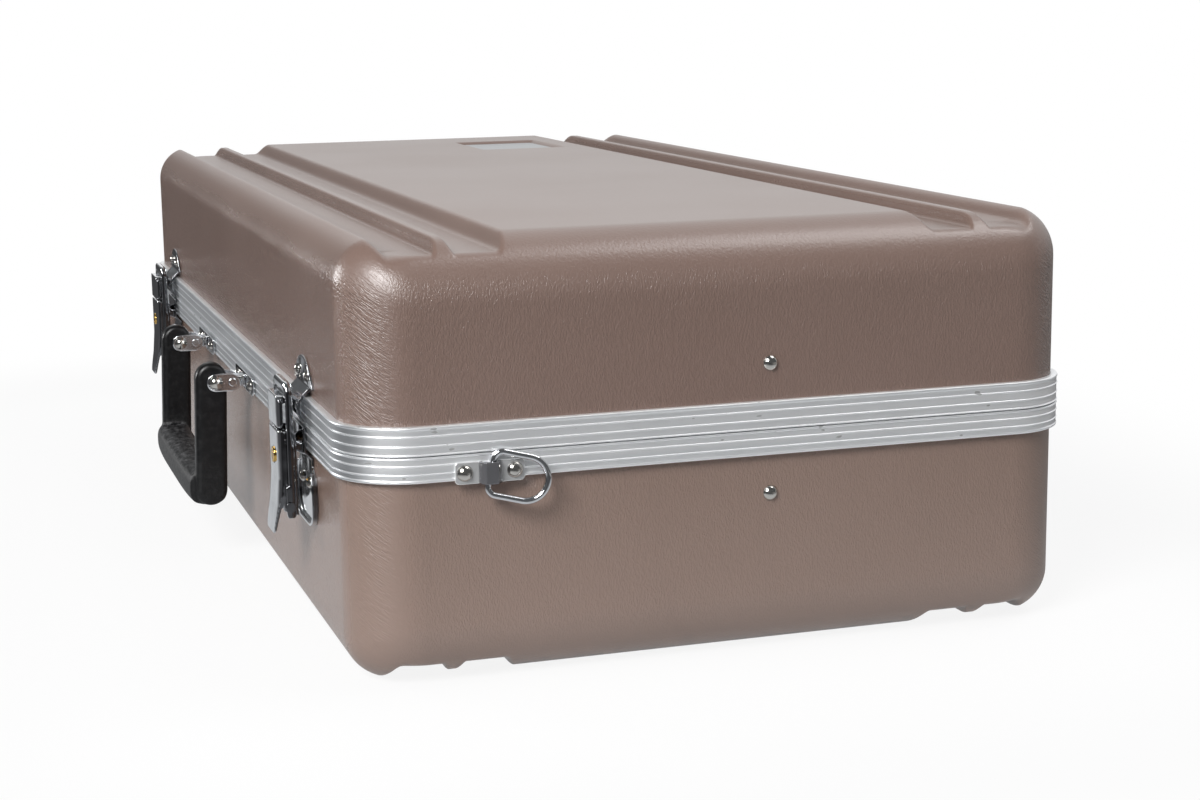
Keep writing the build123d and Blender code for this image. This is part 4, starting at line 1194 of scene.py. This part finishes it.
# %% [markdown]
# ## The handle
#
# The handle is one moulding: two flat ends with round tips, and a grip that bows
# outwards between them. Each is a closed surface of its own, a slab with round
# rims for an end and a squarish tube for the grip. A Boolean would join them
# along a hard seam. The Remesh modifier turns the three into one skin, and
# smoothing lets the grip run into the ends with a small round, as in the mould.

# %% Handle's ends
grip_box = [np.array(corner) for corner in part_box("handle_grip")]
leg_y = -(shell_y + 18.8 * mm)
leg_lean = 2.4 * mm
leg_thick = 8.4 * mm
leg_round = 7.2 * mm
grip_low = grip_box[0][2] - 2.0 * mm
leg_high = grip_box[1][2]
leg_middle = grip_box[1][0] - leg_thick / 2
edge_round = 2.3 * mm
grip_front = grip_box[0][1] + 0.2 * mm


def handle_end(x):
    """Slab with a round outline: rings of one outline, drawn in over the rounded rims.

    The outline is two half circles with straight sides between them, and it leans
    outwards in proportion to how far a point hangs below the top.
    """
    turn = np.linspace(-np.pi / 2, np.pi / 2, 13)
    inset = edge_round * (1 - np.cos(turn))
    across = np.sign(turn) * (leg_thick / 2 - edge_round) + edge_round * np.sin(turn)
    inset = np.concatenate([[leg_round], inset, [leg_round]])
    across = np.concatenate([across[:1], across, across[-1:]])
    around = np.linspace(0, 2 * np.pi, 65)[:-1]
    high = np.where(np.sin(around) >= 0, leg_high - leg_round, grip_low + leg_round)
    reach = (leg_round - inset)[:, None]
    heights = high + reach * np.sin(around)
    hang = (leg_high - heights) / (leg_high - grip_low)
    return np.stack([
        np.broadcast_to(x + across[:, None], (len(across), len(around))),
        leg_y - leg_lean * hang + reach * np.cos(around),
        heights,
    ], axis=-1)


print("handle's ends at x", round(-leg_middle / mm, 1), "and", round(leg_middle / mm, 1), "mm")

# %% [markdown]
# ## The grip
#
# The grip's section is between a circle and a square. A circle's cosine and
# sine, raised to a power below one and given their sign back, push its points
# towards the square's corners. The section is a little smaller at both ends.
# Inside each slab a last ring shrinks almost to a point, and a fan closes it.

# %% Grip
grip_bow = 1.0 * mm
grip_squareness = 3.2


def grip_tube(half_high, half_deep):
    """Squarish tube whose middle line bows outwards, with ends inside the slabs."""
    along = np.linspace(-1, 1, 61)
    x = along * (leg_middle + 1.0 * mm)
    bow = grip_bow * (1 - np.abs(along) ** 4)
    swell = 1 - 0.03 * along ** 4
    swell = np.concatenate([[0.02], swell, [0.02]])
    x = np.concatenate([x[:1], x, x[-1:]])
    bow = np.concatenate([bow[:1], bow, bow[-1:]])
    around = np.linspace(0, 2 * np.pi, 65)[:-1]
    power = 2 / grip_squareness
    deep = np.sign(np.cos(around)) * np.abs(np.cos(around)) ** power * half_deep
    high = np.sign(np.sin(around)) * np.abs(np.sin(around)) ** power * half_high
    middle = grip_low + half_high * 1.02
    return np.stack([
        np.broadcast_to(x[:, None], (len(x), len(around))),
        grip_front + half_deep + grip_bow - bow[:, None] + deep * swell[:, None],
        middle + high * swell[:, None],
    ], axis=-1)


def tube_faces(rings, first):
    """Faces of a tube of rings, with a fan of thin triangles over each end."""
    rows, columns = rings.shape[:2]
    numbers = first + np.arange(rows * columns).reshape(rows, columns)
    caps = []
    for row in (numbers[0][::-1], numbers[-1]):
        caps.append(np.column_stack([np.full(columns - 2, row[0]), row[1:-1], row[2:], row[2:]]))
    return np.concatenate([grid_faces(numbers, closed=True)] + caps)


handle_parts = [handle_end(-leg_middle), handle_end(leg_middle), grip_tube(7.9 * mm, 8.6 * mm)]
handle_points = np.concatenate([part.reshape(-1, 3) for part in handle_parts])
firsts = np.cumsum([0] + [part.shape[0] * part.shape[1] for part in handle_parts])
handle_faces = []
for part, first in zip(handle_parts, firsts):
    faces = tube_faces(part, first)
    if inside_volume(handle_points, faces) < 0:
        faces = faces[:, ::-1]
    handle_faces.append(faces)
handle = mesh_piece("moulded_handle", handle_points, np.concatenate(handle_faces), handle_finish,
                    "handle", ["handle_grip"])
skin = handle.modifiers.new("one_skin", "REMESH")
skin.mode = "VOXEL"
skin.voxel_size = 0.75 * mm
skin.use_smooth_shade = True
relax = handle.modifiers.new("soft_joins", "SMOOTH")
relax.factor = 0.5
relax.iterations = 9


# %% [markdown]
# ## Plush
#
# The nest and the lid's cushion are foam under a short-pile cloth. Pile looks
# paler where it is seen edge-on, which is the sheen of the shader, and it lies
# in patches that catch the light differently; those patches are painted paler
# in the colour, as painted sheen. Fine noise gives the tips. Hairs as real
# strands would cost millions of triangles for a pile this short.

# %% Plush
def plush(name, deep, pale):
    """Short pile: a fine fuzz, patches brushed one way or the other and painted paler as painted sheen,
    and the shader's sheen.
    """
    finish = Finish(name, Roughness=0.95, Sheen_Weight=0.6, Sheen_Roughness=0.45, Specular_IOR_Level=0.15)
    finish.shader.inputs["Sheen Tint"].default_value = pale
    patches = finish.rise(finish.noise(finish.place, 22, 3.0, 0.8), 0.35, 0.65)
    pile = finish.noise(finish.place, 1500, 3.0)
    tips = finish.rise(pile, 0.35, 0.7)
    # painted sheen: the brushed patches are painted paler in the colour
    colour = finish.blend(patches * 0.45 + tips * 0.35, deep, pale)
    return finish.surface(Base_Color=colour, Normal=finish.bump(tips + patches * 0.5, 0.5 * mm))


insert_finish = plush("plush_insert", (0.016, 0.016, 0.019, 1), (0.050, 0.049, 0.055, 1))
cushion_finish = plush("plush_cushion", (0.018, 0.018, 0.021, 1), (0.054, 0.053, 0.060, 1))

# %% [markdown]
# ## The nest
#
# The insert's top is a height field: each point of the grid sinks by the depth
# of the deepest pocket over it. A pocket's depth follows the distance to its
# outline, so that its lip and its floor are both rounded, as foam under cloth
# is. Pockets cut by a Boolean would have sharp lips. The bell's room is part of
# a horn lying on its side: at each place along it, its floor is a circle's arc
# under the bell's axis.

# %% Bell's room
insert_low, insert_high = (np.array(corner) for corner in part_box("base_insert"))
bell_left = -258 * mm
bell_end = -100 * mm
bell_lip = 10 * mm
bell_run = 140 * mm
bell_rim = 66 * mm
bell_throat = 24 * mm
bell_flare = 2.2
bell_y = -62 * mm
bell_axis_z = 80 * mm


def bell_radius(x):
    """Radius of the horn's room along its axis: a straight lip, then a flare.

    The flare falls from the rim to the throat as a power of the share that is left.
    """
    along = np.clip((x - bell_left - bell_lip) / bell_run, 0, 1)
    return bell_throat + (bell_rim - bell_throat) * (1 - along) ** bell_flare


def bell_room(x, y, rise):
    """Depth of the horn's room under a face that lies rise above its axis.

    Under the axis the room is as deep as a circle is high at that distance from
    its middle: the root of radius squared less distance squared.
    """
    radius = bell_radius(x)
    off = np.abs(y - bell_y)
    drop = rise + np.sqrt(np.clip(radius ** 2 - off ** 2, 0, None))
    reach = np.sqrt(np.clip(radius ** 2 - min(rise, 0) ** 2, 0, None))
    inside = np.minimum(reach - off, np.minimum(x - bell_left, bell_end - x))
    return drop * soft_step(inside, -2 * mm, 7 * mm)


print("bell's room from", round(bell_left / mm), "to", round(bell_end / mm), "mm, radius",
      round(float(bell_radius(bell_left)) / mm), "to", round(float(bell_radius(bell_end)) / mm), "mm")

# %% [markdown]
# ## Pockets
#
# Every other pocket is a rectangle with round corners or a circle. How far a
# point lies inside such an outline is one formula, and an S-shaped step of that
# distance gives the pocket its rounded lip and floor. The nest for the tube and
# the room for the valves cross each other, two wells hold accessories, and two
# round sockets hold mouthpieces.

# %% Pocket depths
well_front = 51 * mm
well_back = 131 * mm
well_deep = 62 * mm
pocket_round = 10 * mm
pocket_boxes = [
    # left, right, front, back, deep, radius of the corners
    (-130 * mm, 238 * mm, -88 * mm, 12 * mm, 34 * mm, 12 * mm),
    (-42 * mm, 62 * mm, -133 * mm, 33 * mm, 38 * mm, 12 * mm),
    (-261.8 * mm, 27 * mm, well_front, well_back, well_deep, pocket_round),
    (41 * mm, 253 * mm, well_front, well_back, well_deep, pocket_round),
]
socket_places = (108 * mm, 152 * mm)
socket_y = -116 * mm
socket_radius = 14 * mm
socket_deep = 58 * mm


def inside_box(x, y, left, right, front, back, radius):
    """Distance inside a rectangle with round corners. Negative outside."""
    off_x = np.abs(x - (left + right) / 2) - (right - left) / 2 + radius
    off_y = np.abs(y - (front + back) / 2) - (back - front) / 2 + radius
    beyond = np.hypot(np.clip(off_x, 0, None), np.clip(off_y, 0, None))
    return radius - beyond - np.minimum(np.maximum(off_x, off_y), 0)


def pocket(inside, depth, lip=4.0 * mm):
    """Depth of a pocket with a rounded lip and floor, from the distance inside it."""
    return depth * soft_step(inside, -lip, lip)


def nest_depth(x, y):
    """Depth of all pockets together: the largest of them, with soft joins."""
    depth = bell_room(x, y, insert_high[2] - bell_axis_z)
    for left, right, front, back, deep, radius in pocket_boxes:
        inside = inside_box(x, y, left, right, front, back, radius)
        depth = soft_max(depth, pocket(inside, deep), 3 * mm)
    for middle in socket_places:
        inside = socket_radius - np.hypot(x - middle, y - socket_y)
        depth = soft_max(depth, pocket(inside, socket_deep, 3 * mm), 2 * mm)
    return depth


well_spot = (np.array([-120 * mm]), np.array([90 * mm]))
print("depth of the left well:", round(float(nest_depth(*well_spot)[0]) / mm, 1), "mm")

# %% [markdown]
# ## A padded block
#
# The nest and the cushion are both a block with a height field on one side. Its
# skirt runs over a round lip, down the wall and in over a round foot, and a flat
# grid closes it below, so that the block is one closed surface.

# %% Padded block
def padded_block(lines_x, lines_y, low, high, corner, lip, foot, surface, crowned=False):
    """Closed block: a top given by a surface function, a round lip, walls and a foot.

    The lip starts at the block's full height, or where a crowned face ends.
    """
    numbers, flat, border, outward = plan_sheet(lines_x, lines_y)
    turn = np.radians(np.linspace(15, 90, 6))
    reach_top = corner - lip + lip * np.sin(turn)
    brim = surface(*flat[border].T) if crowned else np.full(len(border), high[2])
    z_top = brim - lip * (1 - np.cos(turn))[:, None]
    reach_low = corner - foot + foot * np.sin(turn[::-1])
    z_low = low[2] + foot * (1 - np.cos(turn[::-1]))
    z_low = np.broadcast_to(np.append(z_low, low[2])[:, None], (len(turn) + 1, len(border)))
    reach = np.concatenate([reach_top, reach_low, [corner - foot]])
    heights = np.concatenate([z_top, z_low])
    places = skirt_points(flat, border, outward, reach)
    rings = np.column_stack([places.reshape(-1, 2), heights.ravel()])
    top = np.column_stack([flat, surface(flat[:, 0], flat[:, 1])])
    floor_points = np.column_stack([flat, np.full(len(flat), low[2])])
    centre = (low[:2] + high[:2]) / 2
    skirt = len(flat) + np.arange(len(rings)).reshape(places.shape[:2])
    below = len(flat) + len(rings)
    points = np.concatenate([top, rings, floor_points])
    points[:, :2] += centre
    faces = np.concatenate([
        grid_faces(numbers),
        grid_faces(np.vstack([border, skirt, border + below]), closed=True)[:, ::-1],
        grid_faces(numbers + below)[:, ::-1],
    ])
    return points, faces


# %% Nest
insert_corner = 18 * mm
insert_foot = 14 * mm
insert_lip = 7 * mm
insert_half = (insert_high - insert_low) / 2
insert_centre = (insert_high + insert_low) / 2
nest_step = 2.1 * mm
half_x = insert_half[0] - insert_corner
half_y = insert_half[1] - insert_corner


def nest_surface(x, y):
    """Height of the nest's face, at places counted from the insert's middle."""
    return insert_high[2] - nest_depth(x + insert_centre[0], y + insert_centre[1])


nest_points, nest_faces = padded_block(
    lines_between((-half_x, half_x, nest_step)), lines_between((-half_y, half_y, nest_step)),
    insert_low, insert_high, insert_corner, insert_lip, insert_foot, nest_surface)
nest = mesh_piece("plush_nest", nest_points, nest_faces, insert_finish,
                  "case_base", ["base_insert"])

# %% [markdown]
# ## The lid's cushion
#
# The cushion lines the lid. Its face is crowned: lowest in the middle, where it
# presses on the instrument, and rising towards its sides, which draw in a
# little between the corners. The bell stands higher than the parting plane, so
# the face has a hollow over it, which is the same horn as the bell's room.

# %% Lid cushion
cushion_low, cushion_high = (np.array(corner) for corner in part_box("lid_cushion"))
cushion_corner = 16 * mm
cushion_edge = 7 * mm
cushion_half = (cushion_high - cushion_low) / 2
cushion_middle = (cushion_high + cushion_low) / 2
crown = 9.3 * mm
side_draw = 2.5 * mm
slack = 1.6 * mm


def cushion_face(x, y):
    """Height of the crowned face with its hollow, upside down for the block below.

    The crown grows with the fourth power of the distance from the middle.
    """
    share_x = x / cushion_half[0]
    share_y = y / cushion_half[1]
    crowned = slack + crown * np.clip(share_x ** 4 * 0.75 + share_y ** 4 * 0.5, 0, 1)
    hollow = bell_room(x + cushion_middle[0], y, bell_axis_z - cushion_low[2])
    return cushion_high[2] - soft_max(crowned, hollow, 5 * mm)


def drawn_in(points):
    """Points whose four sides are pulled in between the corners.

    Across, the pull grows as the cube of the share of the half width. Along, it
    falls from the middle of a side to none at its corners.
    """
    share = np.clip((points[:, :2] - cushion_middle[:2]) / cushion_half[:2], -1, 1)
    pull = side_draw * share ** 3 * (1 - share[:, ::-1] ** 2)
    drawn = points.copy()
    drawn[:, :2] -= pull
    return drawn


cushion_step = 3.5 * mm
cushion_points, cushion_faces = padded_block(
    lines_between((cushion_corner - cushion_half[0], cushion_half[0] - cushion_corner, cushion_step)),
    lines_between((cushion_corner - cushion_half[1], cushion_half[1] - cushion_corner, cushion_step)),
    cushion_low, cushion_high, cushion_corner - slack, cushion_edge, cushion_edge, cushion_face, True)
cushion_points[:, 2] = cushion_low[2] + cushion_high[2] - cushion_points[:, 2]
cushion_points = drawn_in(cushion_points)
cushion = mesh_piece("lid_lining", cushion_points, cushion_faces, cushion_finish,
                     "lid", ["lid_cushion"])


# %% [markdown]
# ## Swelling the cushion
#
# Foam under cloth bulges, and a cloth simulation finds how. The cushion starts
# a little too small, is laid on a coarse net of cells and is blown up for
# twenty steps, with its back held as the glue in the lid holds it. The cloth
# would stretch too far, so no point moves further than a cap, and none leaves
# the room that the lid has for it. What comes out is written into the mesh, so
# nothing is left to simulate.

# %% Cloth under pressure
def puff(piece, cell, steps, cap, held_above, low, high):
    """Swells a pad as cloth, its back held, and caps how far each point moves."""
    net = piece.modifiers.new("net", "REMESH")
    net.mode = "VOXEL"
    net.voxel_size = cell
    netted = baked_mesh(piece)
    piece.modifiers.clear()
    piece.data = netted
    before = mesh_places(netted)
    held = piece.vertex_groups.new(name="held")
    held.add(np.flatnonzero(before[:, 2] > held_above).tolist(), 1.0, "REPLACE")
    cloth = piece.modifiers.new("cloth", "CLOTH")
    cloth.settings.use_pressure = True
    cloth.settings.uniform_pressure_force = 4
    cloth.settings.vertex_group_mass = "held"
    cloth.settings.effector_weights.gravity = 0
    scene = bpy.context.scene
    for step in range(1, steps + 1):
        scene.frame_set(step)
    moved = mesh_places(baked_mesh(piece)) - before
    length = np.linalg.norm(moved, axis=1, keepdims=True)
    after = before + moved * np.minimum(1, cap / np.maximum(length, 1e-9))
    after = np.clip(after, low, high)
    piece.modifiers.clear()
    scene.frame_set(1)
    netted.vertices.foreach_set("co", after.ravel())
    netted.polygons.foreach_set("use_smooth", np.full(len(netted.polygons), True))
    netted.update()
    furthest = round(float(length.max()) / mm, 1)
    print(piece.name, "moved by up to", furthest, "mm, capped at", round(cap / mm, 1), "mm")


puff(cushion, 5 * mm, 20, 4 * mm, cushion_high[2] - 12 * mm, cushion_low, cushion_high)
fine_net = cushion.modifiers.new("fine", "SUBSURF")
fine_net.levels = fine_net.render_levels = 1

# %% [markdown]
# ## Corded seam
#
# Where the cushion's face meets its sides, the cloth is sewn over a thin cord.
# The cord is a circle carried round the cushion's outline: at an angle t round
# it, a point lies the radius times cos t outwards from the cord's middle line,
# and the radius times sin t above it.

# %% Cord round the cushion
cord_radius = 1.7 * mm
cord_inset = 1.6 * mm
cord_rise = 3.0 * mm
cord_lines = [np.linspace(-half, half, 41) for half in cushion_half[:2] - cushion_corner]
cord_flat, cord_border, cord_outward = plan_sheet(*cord_lines)[1:]
cord_reach = np.array([cushion_corner - slack - cord_inset])
cord_path = skirt_points(cord_flat, cord_border, cord_outward, cord_reach)[0]
cord_height = cushion_low[2] + cushion_high[2] - cushion_face(*cord_flat[cord_border].T) + cord_rise
round_cord = np.radians(np.linspace(0, 360, 13)[:-1])[:, None]
cord_places = cord_path + cord_radius * np.cos(round_cord)[..., None] * cord_outward
cord_heights = cord_height + cord_radius * np.sin(round_cord)
cord_rings = np.concatenate([cord_places, cord_heights[..., None]], axis=-1)
cord_points = cord_rings.reshape(-1, 3) + [cushion_middle[0], cushion_middle[1], 0]
cord_count = np.arange(len(cord_points)).reshape(cord_rings.shape[:2])
cord_faces = grid_faces(np.vstack([cord_count, cord_count[:1]]), closed=True)
mesh_piece("lining_seam", drawn_in(cord_points), cord_faces, cushion_finish, "lid")
cord_steps = np.linalg.norm(cord_path - np.roll(cord_path, 1, axis=0), axis=1)
print("cord", round(float(cord_steps.sum()) / mm), "mm long")
